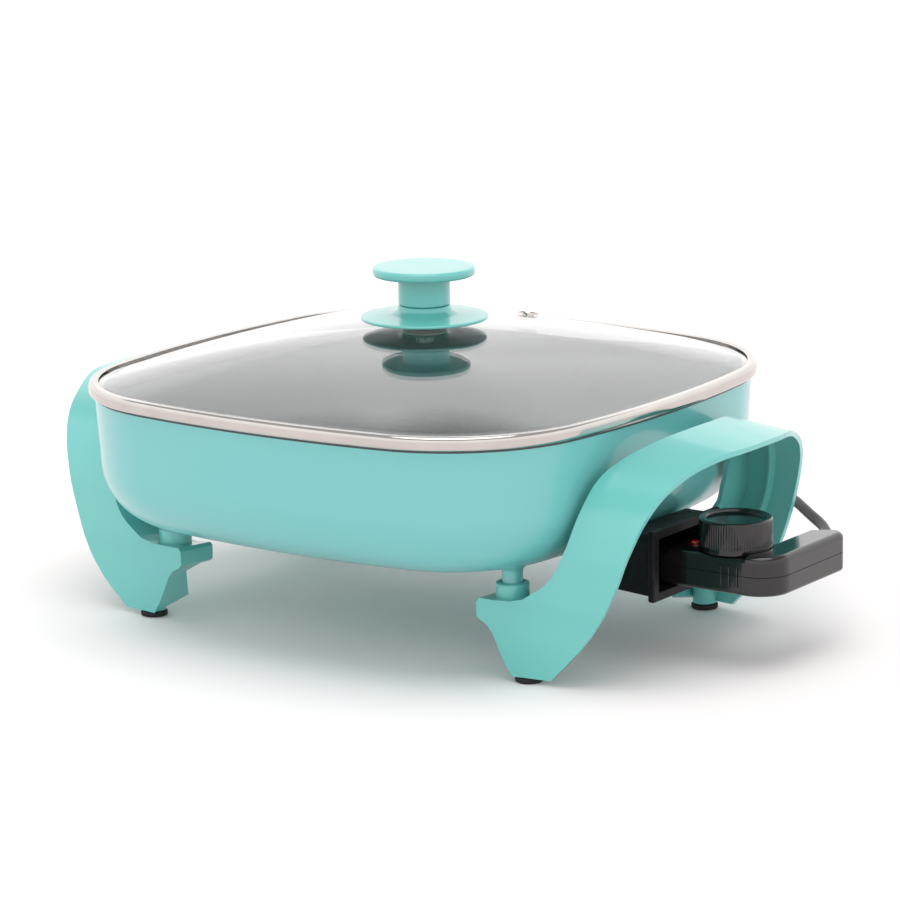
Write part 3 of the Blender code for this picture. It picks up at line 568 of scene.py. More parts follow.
def build_cord():
    """The free cord on its route, its strain relief and its plug."""
    knots = cord_run() + coil_turns()
    path = smooth_curve(knots, 4)
    cord = plain_object("power_cord", swept(path, twin_section()))
    finish_piece(cord, CORD_JACKET, "control", ["cord_run", "cord_coil"], 50)

    relief = turned(relief_profile(), steps=40)
    bmesh.ops.transform(relief, matrix=exit_matrix(), verts=relief.verts)
    sleeve = add_piece("strain_relief_sleeve", relief, RUBBER, "control", ["strain_relief"])
    plug = build_plug()


def build_plug():
    """Moulded two-blade plug: rounded body with side grips and a tapering tail."""
    sections = [(-16.0, 12.0, 8.4), (-14.0, 12.0, 8.4), (-6.0, 11.6, 8.3), (2.0, 11.2, 8.0),
                (8.0, 8.6, 6.9), (13.0, 6.4, 5.8), (20.0, 4.5, 4.6)]
    rings = []
    for u, half_y, half_z in smooth_curve(sections, 4):
        ring = []
        for k in range(40):
            angle = 2 * math.pi * k / 40
            c, s = math.cos(angle), math.sin(angle)
            y = math.copysign(abs(c) ** 0.55, c) * half_y
            z = math.copysign(abs(s) ** 0.55, s) * half_z
            ring.append((PLUG_MIDDLE[0] + u, PLUG_MIDDLE[1] + y, PLUG_Z + z))
        rings.append(ring)
    bm = bmesh.new()
    loft(bm, rings)
    plug = plain_object("plug_moulding", bm)
    grooves = [box((PLUG_MIDDLE[0] + u, PLUG_MIDDLE[1] + side * 11.0 - 1.2, 4.0),
                   (PLUG_MIDDLE[0] + u + 1.2, PLUG_MIDDLE[1] + side * 11.0 + 1.2, 13.2))
               for u in (-10.0, -7.0, -4.0, -1.0) for side in (1, -1)]
    combine(plug, merge(grooves), "DIFFERENCE")
    soften(plug, 0.5, 2, 40)
    return finish_piece(plug, CORD_JACKET, "control", ["plug_body"])


build_cord()


# ==== Pan =============================================================================
def corner_offset():
    """Distance of each corner circle's centre from the two mid planes."""
    reach = BOW_RADIUS - LID_HALF
    inside = BOW_RADIUS - CORNER_RADIUS
    return (math.sqrt(2 * inside ** 2 - reach ** 2) - reach) / 2


def square_outline(inset, height):
    """One closed ring of the rounded square, moved in by an even inset."""
    corner = corner_offset()
    reach = BOW_RADIUS - LID_HALF
    turn = math.degrees(math.atan2(corner, corner + reach))
    side = arc((-reach, 0.0), BOW_RADIUS - inset, -turn, turn, SIDE_STEPS)
    bend = arc((corner, corner), CORNER_RADIUS - inset, turn, 90 - turn, CORNER_STEPS)
    quarter = side + bend[1:-1]
    ring = []
    for index in range(4):
        angle = index * math.pi / 2
        ring += [(x * math.cos(angle) - y * math.sin(angle),
                  x * math.sin(angle) + y * math.cos(angle), height) for x, y in quarter]
    return ring


def pan_profile():
    """(inset, height) up the outside and down the inside, and the number of turquoise bands."""
    foot = PAN_INSET + PAN_DRAFT
    low_centre = PAN_BOTTOM + BASE_FILLET
    outer = [(foot + BASE_FILLET * (1 - math.sin(a)), low_centre - BASE_FILLET * math.cos(a))
             for a in [math.radians(6 * k) for k in range(16)]]
    # painted shade: from this row up, the outer wall takes the dark inner finish in place of the
    # shadow gap under the lid band
    outer.append((PAN_INSET + 0.1, PAN_LIP - PAINTED_LIP_SHADE))
    lip = rounded([outer[-1], (PAN_INSET, PAN_LIP - 0.2), (PAN_INSET, PAN_LIP),
                   (PAN_INSET + WALL, PAN_LIP), (PAN_INSET + WALL, PAN_LIP - 1.5)], 1.0, 3)
    inner_radius = BASE_FILLET - WALL
    inner_low = PAN_FLOOR + inner_radius
    inner = [(foot + WALL + inner_radius * (1 - math.sin(a)), inner_low - inner_radius * math.cos(a))
             for a in [math.radians(9 * k) for k in range(10, -1, -1)]]
    return outer + lip[1:] + inner, len(outer) - 1


def build_pan():
    """The pan with its posts and the ribs and probe block under its floor."""
    profile, outside_rows = pan_profile()
    bm = bmesh.new()
    rings = [square_outline(inset, height) for inset, height in profile]
    # outer rows are enamel; the painted lip shade, the lip and the inside take the dark finish
    loft(bm, rings, band_material=lambda row: 0 if row < outside_rows else 1)
    pan = plain_object("pan_shell", bm, [ENAMEL, NONSTICK_AND_LIP_SHADE])
    root = BOSS_RADIUS + 2.4
    post = rounded([(BOSS_RADIUS, HOOK_TOP + 2.6), (BOSS_RADIUS, 55.5), (root, PAN_BOTTOM + 0.5),
                    (root, PAN_BOTTOM + 4.0)], 2.0)
    posts = [turned(post, spot, steps=48) for spot in mirrored_corners(BOSS_CENTRE)]
    combine(pan, merge(posts), "UNION")
    combine(pan, box((62.0, -6.0, 44.8), (116.5, 6.0, PAN_BOTTOM + 2.0)), "UNION", 1.2)
    for inner in (ELEMENT_RADIUS - 7.4, ELEMENT_RADIUS + 5.4):
        combine(pan, ring_rib(inner, inner + 2.0, 53.6, PAN_BOTTOM + 1.0, 22), "UNION")
    taps = [turned([(2.2, 40.0), (2.2, 55.5)], spot, steps=24)
            for spot in mirrored_corners(BOSS_CENTRE)]
    taps += [turned([(1.9, 50.0), (1.9, PAN_BOTTOM + 4.0)],
                    (GUARD_SCREW[0], end * GUARD_SCREW[1]), steps=24) for end in (1, -1)]
    taps.append(rod_x(3.3, 66.0, 120.0, 0.0, PIN_Z))
    combine(pan, merge(taps), "DIFFERENCE")
    finish_piece(pan, None, "base", ["pan_body"])


def ring_rib(inner, outer, low, high, opening):
    """A low ring wall under the pan's floor that leaves room for the element's two leads."""
    bm = bmesh.new()
    rings = []
    for degrees in range(opening, 361 - opening, 4):
        angle = math.radians(degrees)
        away = (math.cos(angle), math.sin(angle))
        rings.append([(radius * away[0], radius * away[1], z)
                      for radius, z in ((inner, high), (inner, low + 0.6), (inner + 0.5, low),
                                        (outer - 0.5, low), (outer, low + 0.6), (outer, high))])
    loft(bm, rings)
    return bm


def on_element(degrees, height):
    angle = math.radians(degrees)
    return (ELEMENT_RADIUS * math.cos(angle), ELEMENT_RADIUS * math.sin(angle), height)


def build_element():
    """An open ring of tube whose two leads run out to the terminal pins."""
    ring = [on_element(degrees, 52.6) for degrees in range(34, 327, 12)]
    bend = on_element(17.0, 52.4)
    lead = [(112.0, PIN_Y, PIN_Z), (108.0, PIN_Y, PIN_Z), (103.0, PIN_Y + 1.0, PIN_Z),
            (94.0, PIN_Y + 4.5, 51.6), bend]
    tail = [(x, -y, z) for x, y, z in reversed(lead)]
    route = smooth_curve([*lead, *ring, *tail], 4)
    add_piece("element_tube", swept(route, round_section(3.8)), ELEMENT, "base",
              ["heating_element"], smooth=50)


def screw_recess(spot, low, reach):
    """Cross recess of a screw whose head faces down."""
    return [box((spot[0] - a, spot[1] - b, low - 1.0), (spot[0] + a, spot[1] + b, low + 1.1))
            for a, b in ((reach, 0.45), (0.45, reach))]


def build_screw(name, profile, spot, body, node):
    screw = plain_object(name, turned(profile, spot, steps=32))
    for arm in screw_recess(spot, profile[0][1], profile[1][0] * 0.55):
        combine(screw, arm, "DIFFERENCE")
    finish_piece(screw, ZINC, body, [node])


build_pan()
build_element()


# ==== Probe guard =====================================================================
def guard_outline():
    """Outline in X and Z; the roof follows the pan's base fillet with a small gap."""
    fillet_x = LID_HALF - PAN_INSET - PAN_DRAFT - BASE_FILLET
    fillet_z = PAN_BOTTOM + BASE_FILLET
    roof = arc((fillet_x, fillet_z), BASE_FILLET + 1.0, 306, 276, 14)
    return [(GUARD_BACK, GUARD_FLOOR[0]), (GUARD_MOUTH, GUARD_FLOOR[1]), (GUARD_MOUTH, GUARD_ROOF),
            (roof[0][0] + 6.6, GUARD_ROOF), *roof]


def build_guard():
    """The shroud round the probe and pins: a hollow box with a lip and two screwed ears."""
    guard = plain_object("guard_shroud", prism(guard_outline(), -GUARD_HALF, GUARD_HALF, "Y"))
    soften(guard, 1.6, 4, 40)
    lip = box((GUARD_MOUTH - 2.5, -GUARD_HALF - 2.5, 33.8),
              (GUARD_MOUTH + 1.5, GUARD_HALF + 2.5, 71.0))
    combine(guard, lip, "UNION", 1.2)
    back = GUARD_BACK + GUARD_WALL
    roof = GUARD_ROOF - GUARD_WALL
    hollow = prism([(back, GUARD_FLOOR[0] + GUARD_WALL),
                    (GUARD_MOUTH + 5.0, GUARD_FLOOR[1] + GUARD_WALL), (GUARD_MOUTH + 5.0, roof),
                    (145.0, roof), (138.0, 61.5), (130.0, 58.5), (back, 55.6)],
                   -GUARD_HALF + GUARD_WALL, GUARD_HALF - GUARD_WALL, "Y")
    combine(guard, hollow, "DIFFERENCE", 0.8)
    ears = [box((104.0, min(s * 20.5, s * 29.5), 53.6), (120.0, max(s * 20.5, s * 29.5), 56.4))
            for s in (1, -1)]
    combine(guard, merge(ears), "UNION", 0.6)
    holes = [rod_x(3.0, 110.0, 125.0, s * PIN_Y, PIN_Z) for s in (1, -1)]
    holes.append(rod_x(4.0, 110.0, 125.0, 0.0, PIN_Z))
    holes += [turned([(2.2, 50.0), (2.2, 58.0)], (GUARD_SCREW[0], s * GUARD_SCREW[1]), steps=32)
              for s in (1, -1)]
    combine(guard, merge(holes), "DIFFERENCE")
    finish_piece(guard, GUARD_BLACK, "base", ["probe_guard"])
    for number, s in enumerate((1, -1), 1):
        profile = [(2.6, 50.9), (3.6, 51.6), (3.6, 53.3), (1.6, 53.3), (1.6, 60.2)]
        build_screw(f"guard_screw_head_{number}", profile, (GUARD_SCREW[0], s * GUARD_SCREW[1]),
                    "base", f"guard_screw_{number}")


build_guard()


# ==== Handles and feet ================================================================
# stations of a handle from foot to crown: inner edge, outer edge, depth of the flange
LEG_ROWS = [
    ((115.3, -91.0, FOOT_LOW), (136.8, -88.2, FOOT_LOW), 26.0),
    ((111.0, -91.3, 9.5), (140.6, -88.5, 6.9), 22.0),
    ((107.2, -91.6, 17.5), (145.0, -88.8, 11.2), 18.0),
    ((104.2, -91.8, 24.0), (148.4, -88.9, 14.8), 14.5),
    ((101.0, -92.0, 28.0), (150.9, -88.9, 17.3), 25.0),
    ((96.5, -92.2, 30.3), (152.6, -88.8, 19.3), 25.0),
    ((95.0, -92.2, 32.0), (154.3, -88.6, 21.3), 25.0),
    ((95.0, -92.2, 39.3), (158.5, -88.2, 26.5), 25.0),
    ((96.8, -92.0, HOOK_TOP), (160.0, -88.0, 28.7), 25.0),
    ((105.5, -92.0, HOOK_TOP), (162.0, -87.6, 31.8), 25.0),
    ((115.0, -92.0, HOOK_TOP + 0.6), (164.4, -87.0, 35.5), 25.0),
]
ARCH_ROWS = [
    ((122.5, -91.8, 43.8), (166.9, -86.4, 40.0), 25.0),
    ((136.5, -90.0, 54.0), (173.4, -84.2, 55.0), 25.0),
    ((144.6, -87.4, 69.5), (178.6, -82.4, 70.5), 25.0),
    ((149.0, -80.5, 88.0), (185.0, -76.5, 88.5), 24.0),
    ((153.0, -69.0, 104.0), (190.6, -66.5, 101.5), 22.0),
    ((158.5, -53.0, 112.8), (196.5, -50.5, 110.5), 19.0),
    ((167.0, -34.0, 119.2), (203.2, -32.5, 115.4), 16.0),
    ((172.7, -17.0, 122.2), (206.2, -16.0, 116.3), 14.0),
]
CROWN_ROW = ((174.3, 0.0, 122.9), (HANDLE_OUT, 0.0, 116.5), 13.0)
ARCH_STEPS = 6


def flip_y(point):
    return (point[0], -point[1], point[2])


def handle_rows():
    """All stations of one handle: straight rows in the legs, smooth ones in the arch."""
    arch = ARCH_ROWS + [CROWN_ROW]
    arch += [(flip_y(inner), flip_y(outer), depth) for inner, outer, depth in reversed(ARCH_ROWS)]
    inner = smooth_curve([row[0] for row in arch], ARCH_STEPS)
    outer = smooth_curve([row[1] for row in arch], ARCH_STEPS)
    depth = smooth_curve([(row[2], 0, 0) for row in arch], ARCH_STEPS)
    rows = [(Vector(i), Vector(o), d) for i, o, d in LEG_ROWS]
    rows += [(i, o, d.x) for i, o, d in zip(inner, outer, depth)]
    rows += [(Vector(flip_y(i)), Vector(flip_y(o)), d) for i, o, d in reversed(LEG_ROWS)]
    return rows


def heading(points, index):
    """Average direction of a path at a point, and the miter factor of its corner."""
    before = points[index] - points[max(index - 1, 0)]
    after = points[min(index + 1, len(points) - 1)] - points[index]
    if before.length == 0:
        before = after
    if after.length == 0:
        after = before
    mean = (before.normalized() + after.normalized()).normalized()
    return mean, 1 / max(mean.dot(before.normalized()), 0.6)


def handle_sections():
    """Closed sections: plate, centre rib and pan-side flange."""
    rows = handle_rows()
    inner_path = [row[0] for row in rows]
    outer_path = [row[1] for row in rows]
    sections = []
    for index, (inner, outer, depth) in enumerate(rows):
        across = (outer - inner).normalized()
        inward = heading(outer_path, index)[0].cross(across).normalized()
        along, miter = heading(inner_path, index)
        into = inward.cross(along).normalized() * miter
        middle = inner.lerp(outer, 0.55)
        from_leg = min(index, len(rows) - 1 - index) - len(LEG_ROWS) + 1
        rib = inward * (PLATE + 5.0 * ease(from_leg / ARCH_STEPS))
        back = inward * PLATE
        sections.append([
            inner, outer, outer + back, middle + across * 0.9 + back, middle + across * 0.7 + rib,
            middle - across * 0.7 + rib, middle - across * 0.9 + back,
            inner + into * FLANGE + back, inner + into * FLANGE + inward * depth,
            inner + inward * depth])
    return sections


def build_handle(name, side, node):
    """Swept plate with rib and flange, the foot posts, and the collars round the pan's posts."""
    bm = bmesh.new()
    loft(bm, handle_sections())
    bmesh.ops.transform(bm, matrix=Matrix.Diagonal((side, 1, 1, 1)), verts=bm.verts)
    handle = plain_object(name, bm)
    soften(handle, 0.75, 3, 40)
    spots = [(side, end) for end in (1, -1)]
    posts = [turned(rounded([(5.4, FOOT_LOW), (6.4, FOOT_LOW), (6.4, HOOK_TOP + 0.4)], 0.8),
                    (s * PAD_CENTRE[0], e * PAD_CENTRE[1]), steps=40) for s, e in spots]
    collars = [turned(rounded([(COLLAR_RADIUS, HOOK_TOP - 1.8), (COLLAR_RADIUS, COLLAR_TOP),
                               (COLLAR_RADIUS - 3.0, COLLAR_TOP)], 1.4),
                      (s * BOSS_CENTRE[0], e * BOSS_CENTRE[1]), steps=48) for s, e in spots]
    combine(handle, merge(posts), "UNION")
    combine(handle, merge(collars), "UNION")
    holes = []
    seats = []
    for s, e in spots:
        boss = (s * BOSS_CENTRE[0], e * BOSS_CENTRE[1])
        pad = (s * PAD_CENTRE[0], e * PAD_CENTRE[1])
        holes.append(turned([(2.4, HOOK_TOP - 6.0), (2.4, HOOK_TOP + 2.2),
                             (BOSS_RADIUS + 0.4, HOOK_TOP + 2.2), (BOSS_RADIUS + 0.4, HOOK_TOP + 9.0)],
                            boss, steps=40))
        holes.append(turned([(2.3, 0.0), (2.3, 15.0)], pad, steps=32))
        seats.append(turned([(5.4, HOOK_TOP - 7.5), (5.4, SEAT_Z)], boss, steps=40))
    combine(handle, merge(holes), "DIFFERENCE")
    combine(handle, merge(seats), "DIFFERENCE")
    finish_piece(handle, HANDLE_PLASTIC, "base", [node])


def build_feet():
    """Rubber foot pads, and the screws that hold the handles to the pan's posts."""
    head_low = SEAT_Z - 3.9
    for number, spot in enumerate(mirrored_corners(PAD_CENTRE), 1):
        profile = [(3.0, 0.3), (3.6, 0.0)]
        profile += rounded([(3.6, 0.0), (PAD_RADIUS, 0.0), (PAD_RADIUS, FOOT_LOW - 0.3),
                            (2.0, FOOT_LOW - 0.3)], 0.8)[1:]
        profile += [(2.0, 12.0)]
        add_piece(f"rubber_foot_{number}", turned(profile, spot), RUBBER, "base",
                  [f"foot_pad_{number}"])
    for number, spot in enumerate(mirrored_corners(BOSS_CENTRE), 1):
        profile = [(2.8, head_low), (3.7, head_low + 0.7), (3.8, head_low + 2.4),
                   (1.8, head_low + 2.4), (1.8, 54.0)]
        build_screw(f"handle_screw_head_{number}", profile, spot, "base", f"handle_screw_{number}")


build_handle("handle_arch_right", 1, "handle_right")
build_handle("handle_arch_left", -1, "handle_left")
build_feet()


# ==== Lid =============================================================================
def glass_ring(share, height):
    """The glass edge scaled towards the middle, turning round near the centre hole."""
    edge = square_outline(GLASS_EDGE, height)
    blend = min(share / 0.45, 1.0)
    ring = []
    for x, y, z in edge:
        reach = math.hypot(x, y)
        radius = (blend * reach + (1 - blend) * LID_HALF) * share
        ring.append((x / reach * radius, y / reach * radius, z))
    return ring


def dome(share, below=0.0):
    return glass_ring(share, GLASS_RIM_TOP + GLASS_RISE * (1 - share ** 2) - below)


def build_lid():
    """Glass dome, steam vent and the rolled steel band round the edge."""
    hole = GLASS_HOLE / LID_HALF
    count = 30
    shares = [1 - (1 - hole) * k / count for k in range(count + 1)]
    top = [square_outline(2.2, GLASS_RIM_TOP - 0.4)] + [dome(share) for share in shares]
    bottom = [dome(share, GLASS_THICK) for share in reversed(shares)]
    bottom.append(square_outline(2.2, GLASS_RIM_TOP - GLASS_THICK + 0.4))
    bm = bmesh.new()
    loft(bm, top + bottom, closed_loop=True)
    glass = plain_object("glass_dome", bm)
    vent = (0.5, 96.0)
    combine(glass, turned([(3.6, 130.0), (3.6, 165.0)], vent, steps=32), "DIFFERENCE")
    finish_piece(glass, LID_GLASS, "lid", ["lid_glass"], 50)

    share = vent[1] / (LID_HALF - GLASS_EDGE)
    vent_top = GLASS_RIM_TOP + GLASS_RISE * (1 - share ** 2)
    slope = math.atan(2 * GLASS_RISE * share / (LID_HALF - GLASS_EDGE))
    low = -GLASS_THICK / 2 - 0.9
    grommet = turned([(2.0, low - 1.6), (5.2, low - 1.6), (5.6, low - 1.2), (5.6, low), (3.1, low),
                      (3.1, 2.6), (5.6, 2.6), (5.6, 3.4), (5.0, 4.0), (2.4, 4.0), (2.0, 3.6)],
                     hollow=True)
    tilt = (Matrix.Translation((vent[0], vent[1], vent_top - GLASS_THICK / 2))
            @ Matrix.Rotation(-slope, 4, "X"))
    bmesh.ops.transform(grommet, matrix=tilt, verts=grommet.verts)
    add_piece("steam_vent", grommet, STAINLESS, "lid", ["vent_grommet"])

    outer = rounded([(5.2, BAND_HIGH - 0.3), (1.3, BAND_HIGH), (0.0, BAND_HIGH - 1.8),
                     (0.0, BAND_LOW + 1.2), (0.9, BAND_LOW), (8.0, BAND_LOW)], 1.3, 4)
    inner = [(8.0, 121.5), (8.8, 121.5), (8.8, GLASS_RIM_TOP - GLASS_THICK - 0.6),
             (1.8, GLASS_RIM_TOP - GLASS_THICK - 0.3), (1.8, BAND_HIGH - 0.7), (5.2, BAND_HIGH - 0.7)]
    bm = bmesh.new()
    loft(bm, [square_outline(inset, height) for inset, height in outer + inner], closed_loop=True)
    add_piece("rim_band", bm, STAINLESS, "lid", ["lid_band"])


def build_knob():
    """The knob's disc and stem, and the flanged base that it stands on."""
    split_high, split_low = KNOB_SPLIT + 0.15, KNOB_SPLIT - 0.15
    disc_low = 182.5
    cap = rounded([(2.8, split_high), (STEM_RADIUS - 0.3, split_high),
                   (STEM_RADIUS, KNOB_SPLIT + 0.8), (STEM_RADIUS, disc_low - 0.9),
                   (STEM_RADIUS + 2.0, disc_low), (KNOB_RADIUS, disc_low),
                   (KNOB_RADIUS, KNOB_TOP - 0.2), (KNOB_RADIUS - 6.0, KNOB_TOP),
                   (2.0, KNOB_TOP)], 1.7, 5)
    knob = plain_object("knob_disc", turned([(2.8, 178.0)] + cap, steps=96))
    finish_piece(knob, HANDLE_PLASTIC, "lid", ["knob_cap"])

    foot = APEX + 1.5
    base = rounded([(2.9, split_low), (STEM_RADIUS, split_low), (14.4, FLANGE_LOW + 4.8),
                    (18.0, FLANGE_LOW + 2.7), (FLANGE_RADIUS, FLANGE_LOW + 1.6),
                    (FLANGE_RADIUS, FLANGE_LOW), (14.0, FLANGE_LOW), (12.0, foot), (2.9, foot)],
                   0.9, 4)
    add_piece("knob_flange", turned(base, hollow=True, steps=96), HANDLE_PLASTIC, "lid",
              ["knob_base"])


build_lid()
build_knob()


# ==== Heat control ====================================================================
def body_outline(inset):
    """Plan of the housing: nose, body and the grip that bends round to the back."""
    nose, half = NOSE_HALF - inset, BODY_HALF - inset
    return [(NOSE_X + inset, -nose), (160, -nose), (164, STEP - half), (STEP_X, STEP - half),
            (STEP_X + 0.5, -half), *arc(GRIP_CENTRE, GRIP_BEND - inset, 270, 360, 14),
            *arc(GRIP_END, GRIP_END_RADIUS - inset, 0, 85, 8),
            (NECK_X + inset, 49.9 - 0.4 * inset), (NECK_X + inset, 24 - inset),
            (198 + inset, half), (164, half), (160, nose), (NOSE_X + inset, nose)]


def grip_outline(inset):
    """Plan of the grip's raised top."""
    return [(207, inset - BODY_HALF), *arc(GRIP_CENTRE, GRIP_BEND - inset, 280, 360, 12),
            *arc(GRIP_END, GRIP_END_RADIUS - inset, 0, 85, 8),
            (NECK_X + inset, 49.9 - 0.4 * inset), (NECK_X + inset, 24)]


def control_cutters():
    """Openings for the pins, the probe and the strain relief."""
    holes = [rod_x(3.6, NOSE_X - 4, NOSE_X + 4, s * PIN_Y, PIN_Z) for s in (1, -1)]
    holes.append(rod_x(3.1, NOSE_X - 4, NOSE_X + 4, 0.0, PIN_Z))
    relief = turned([(4.6, -8.0), (4.6, 6.0)], steps=32)
    bmesh.ops.transform(relief, matrix=exit_matrix(), verts=relief.verts)
    return merge(holes + [relief])


def half_shell(name, low, high, round_at, radius):
    """One half of the housing: rounded along its outer rim, square along the parting."""
    rings = []
    steps = 5
    for k in range(steps + 1):
        angle = math.pi / 2 * k / steps
        inset, height = radius * (1 - math.sin(angle)), radius * (1 - math.cos(angle))
        z = round_at + height if round_at == low else round_at - height
        rings.append([(x, y, z) for x, y in body_outline(inset)])
    far = high if round_at == low else low
    rings.append([(x, y, far) for x, y in body_outline(0.0)])
    bm = bmesh.new()
    loft(bm, rings)
    return plain_object(name, bm)


def build_housing():
    """Lower tray and upper cover, with the grip, the dial's well and three screws."""
    lower = half_shell("housing_tray", BODY_LOW, SPLIT_Z - 0.15, BODY_LOW, 2.0)
    combine(lower, prism(body_outline(SHELL), BODY_LOW + SHELL, SPLIT_Z + 5), "DIFFERENCE")
    upper = half_shell("housing_cover", SPLIT_Z + 0.15, BODY_HIGH, BODY_HIGH, 1.6)

    rings = []
    for k in range(7):
        angle = math.pi / 2 * k / 6
        inset, height = 0.02 + 3.2 * (1 - math.cos(angle)), HEAD_HIGH - 3.2 * (1 - math.sin(angle))
        rings.append([(x, y, height) for x, y in grip_outline(inset)])
    grip = bmesh.new()
    loft(grip, [[(x, y, SPLIT_Z + 2.0) for x, y in grip_outline(0.02)]] + rings)
    combine(upper, grip, "UNION")
    combine(upper, prism(body_outline(SHELL), SPLIT_Z - 5, NOSE_HIGH - SHELL), "DIFFERENCE")
    dial_room = turned([(DIAL_RADIUS + 0.6, DIAL_LOW - 0.3), (DIAL_RADIUS + 0.6, DIAL_HIGH)],
                       (DIAL_X, 0.0), steps=72)
    combine(upper, dial_room, "DIFFERENCE")
    nose_step = box((NOSE_X - 5.0, -25.0, NOSE_HIGH), (GUARD_MOUTH, 25.0, HEAD_HIGH + 5.0))
    combine(upper, nose_step, "DIFFERENCE")
    top_holes = merge([turned([(3.5, 50.0), (3.5, 70.0)], (DIAL_X, 0.0), steps=32),
                       turned([(3.0, 54.0), (3.0, 64.0)], (167.0, 0.0), steps=32)])
    combine(upper, top_holes, "DIFFERENCE")
    screw_spots = [(207.0, -9.0), (214.5, 16.0), (214.0, 46.0)]
    stubs = merge([turned([(3.2, BODY_LOW + 2.6), (3.2, NOSE_HIGH)], spot, steps=24)
                   for spot in screw_spots])
    combine(upper, stubs, "UNION")
    # raised grip ridges on the near side, split at the parting line
    ridge_at = (192.4, 197.0, 201.6)
    for half, low, high in ((lower, BODY_LOW + 4.0, SPLIT_Z - 0.15),
                            (upper, SPLIT_Z + 0.15, BODY_HIGH - 4.2)):
        ridges = merge([box((x - 0.8, -BODY_HALF, low), (x + 0.8, 1.4 - BODY_HALF, high))
                        for x in ridge_at])
        combine(half, ridges, "UNION", 0.3)
        combine(half, control_cutters(), "DIFFERENCE")
        drill = merge([turned([(1.7, 35.0), (1.7, 49.0)], spot, steps=24) for spot in screw_spots])
        combine(half, drill, "DIFFERENCE")
    finish_piece(lower, GLOSS_BLACK, "control", ["control_housing_lower"])
    finish_piece(upper, GLOSS_BLACK, "control", ["control_housing_upper"])
    for number, spot in enumerate(screw_spots, 1):
        profile = [(1.8, BODY_LOW - 1.6), (2.6, BODY_LOW - 1.0), (2.6, BODY_LOW - 0.3),
                   (1.4, BODY_LOW - 0.3), (1.4, BODY_LOW + 6.0)]
        build_screw(f"housing_screw_head_{number}", profile, spot, "control",
                    f"housing_screw_{number}")


def build_dial():
    """Knurled dial with a recessed top."""
    bm = bmesh.new()
    loft(bm, knurled_rings())
    dial = plain_object("dial_knob", bm)
    bore = turned([(3.4, DIAL_LOW - 2.0), (3.4, 68.6)], (DIAL_X, 0.0), steps=32)
    combine(dial, bore, "DIFFERENCE")
    finish_piece(dial, GLOSS_BLACK, "dial", ["control_dial"], smooth=30)


def knurled_rings():
    """Rings of (radius, height, knurled) from the skirt up the side and into the recess."""
    edge, low, high = DIAL_RADIUS, DIAL_LOW, DIAL_HIGH
    profile = [(edge - 0.8, low, False), (edge - 0.2, low + 0.3, False), (edge, low + 0.9, False),
               (edge, low + 3.0, False), (edge, low + 3.3, True), (edge, high - 1.6, True),
               (edge - 0.1, high - 1.1, False), (edge - 0.5, high - 0.4, False),
               (edge - 1.2, high, False), (edge - 2.4, high, False), (edge - 3.0, high - 0.3, False),
               (edge - 3.5, high - 1.4, False), (edge - 4.2, high - 1.9, False),
               (edge - 9.0, high - 2.0, False)]
    steps = 4 * KNURL_RIDGES
    rings = []
    for radius, z, knurled in profile:
        ring = []
        for k in range(steps):
            angle = 2 * math.pi * k / steps
            reach = radius - (KNURL_DEPTH if knurled and k % 4 >= 2 else 0.0)
            ring.append((DIAL_X + reach * math.cos(angle), reach * math.sin(angle), z))
        rings.append(ring)
    return rings


build_housing()
build_dial()


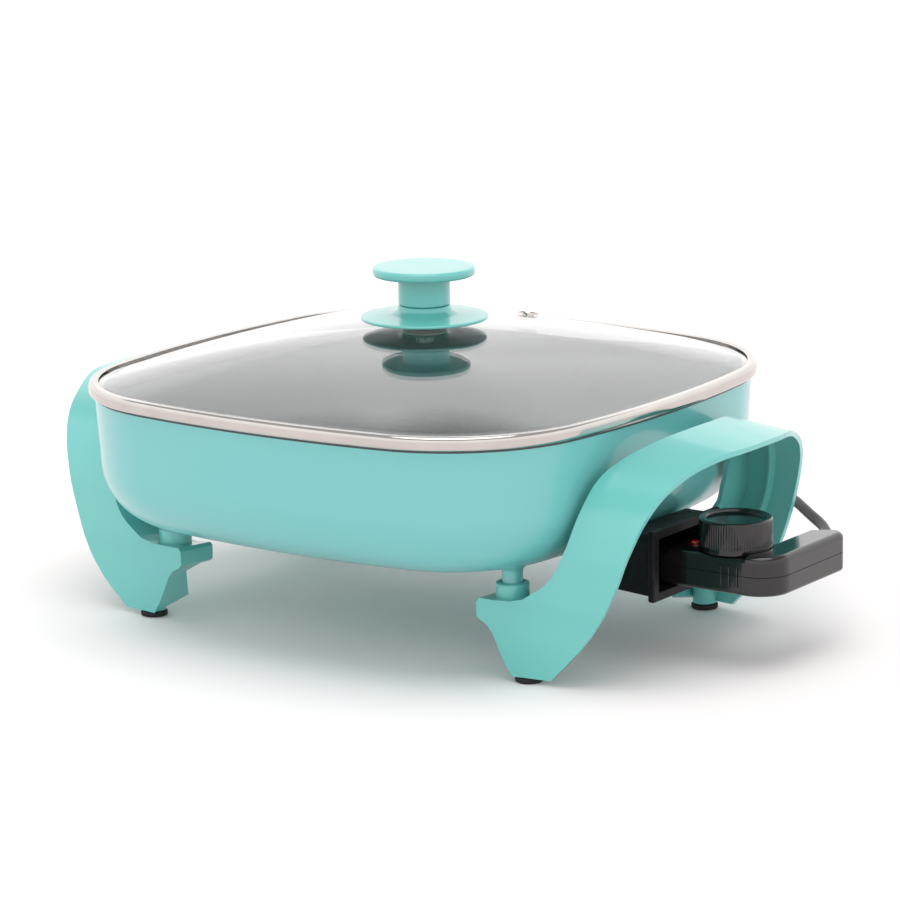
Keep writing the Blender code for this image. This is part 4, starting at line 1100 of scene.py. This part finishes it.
# ==== Finishes of the CAD pieces that are shown as they are ===========================
CARRIED = {
    CERAMIC: ["terminal_insulator_1", "terminal_insulator_2"],
    STAINLESS: ["terminal_pin_1", "terminal_pin_2", "sensor_probe", "under_washer"],
    ZINC: ["handle_washer_1", "handle_washer_2", "handle_washer_3", "handle_washer_4", "knob_screw",
           "bimetal_blade"],
    SILICONE: ["knob_gasket", "under_gasket"],
    BRASS: ["contact_sleeve_1", "contact_sleeve_2", "contact_arm_1", "contact_arm_2", "dial_shaft"],
    NICKEL: ["plug_blade_1", "plug_blade_2"],
    LAMP_GLASS: ["indicator_lamp"],
    RED_LENS: ["indicator_lens"],
}
for material, nodes in CARRIED.items():
    for name in nodes:
        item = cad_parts[name]
        if not item.material_slots:
            item.data.materials.append(material)
        for slot in item.material_slots:
            slot.material = material


# ==== Floor, light and world ==========================================================
def build_floor():
    """A wide pale disc, a hair below the feet."""
    bm = bmesh.new()
    bmesh.ops.create_circle(bm, cap_ends=True, segments=96, radius=9.0)
    mesh = bpy.data.meshes.new("floor")
    bm.to_mesh(mesh)
    bm.free()
    floor = bpy.data.objects.new("floor", mesh)
    floor.location.z = -0.0002
    bpy.context.scene.collection.objects.link(floor)
    mesh.materials.append(surface("floor_paper", (0.90, 0.850, 0.850), 0.85, mottle=0.0,
                                  rough_spread=0.02, specular=0.1))


# brightness of the world: a backdrop all round, a ceiling above it, and dim overhead
HORIZON = 1.35
CEILING = 1.50
OVERHEAD = 0.60


def build_light():
    """One wide soft lamp overhead and a world whose brightness steps with height."""
    sun = bpy.data.lights.new("softbox", "SUN")
    sun.energy = 1.3
    sun.angle = math.radians(50)
    lamp = bpy.data.objects.new("softbox", sun)
    lamp.rotation_euler = (math.radians(8), math.radians(4), 0.0)
    bpy.context.scene.collection.objects.link(lamp)

    world = bpy.data.worlds.new("studio")
    bpy.context.scene.world = world
    world.use_nodes = True
    nodes, links = world.node_tree.nodes, world.node_tree.links
    coords = nodes.new("ShaderNodeTexCoord")
    split = nodes.new("ShaderNodeSeparateXYZ")
    ramp = nodes.new("ShaderNodeValToRGB")
    stops = ramp.color_ramp.elements
    stops.remove(stops[1])
    stops[0].position = math.sin(math.radians(20.5))
    stops[0].color = (HORIZON, HORIZON, HORIZON, 1.0)
    for degrees, level in ((22.0, CEILING), (36.0, CEILING), (41.0, OVERHEAD)):
        stop = stops.new(math.sin(math.radians(degrees)))
        stop.color = (level, level, level, 1.0)
    links.new(coords.outputs["Generated"], split.inputs["Vector"])
    links.new(split.outputs["Z"], ramp.inputs["Fac"])
    links.new(ramp.outputs["Color"], nodes["Background"].inputs["Color"])


bpy.context.scene.view_settings.view_transform = "Standard"
build_floor()
build_light()
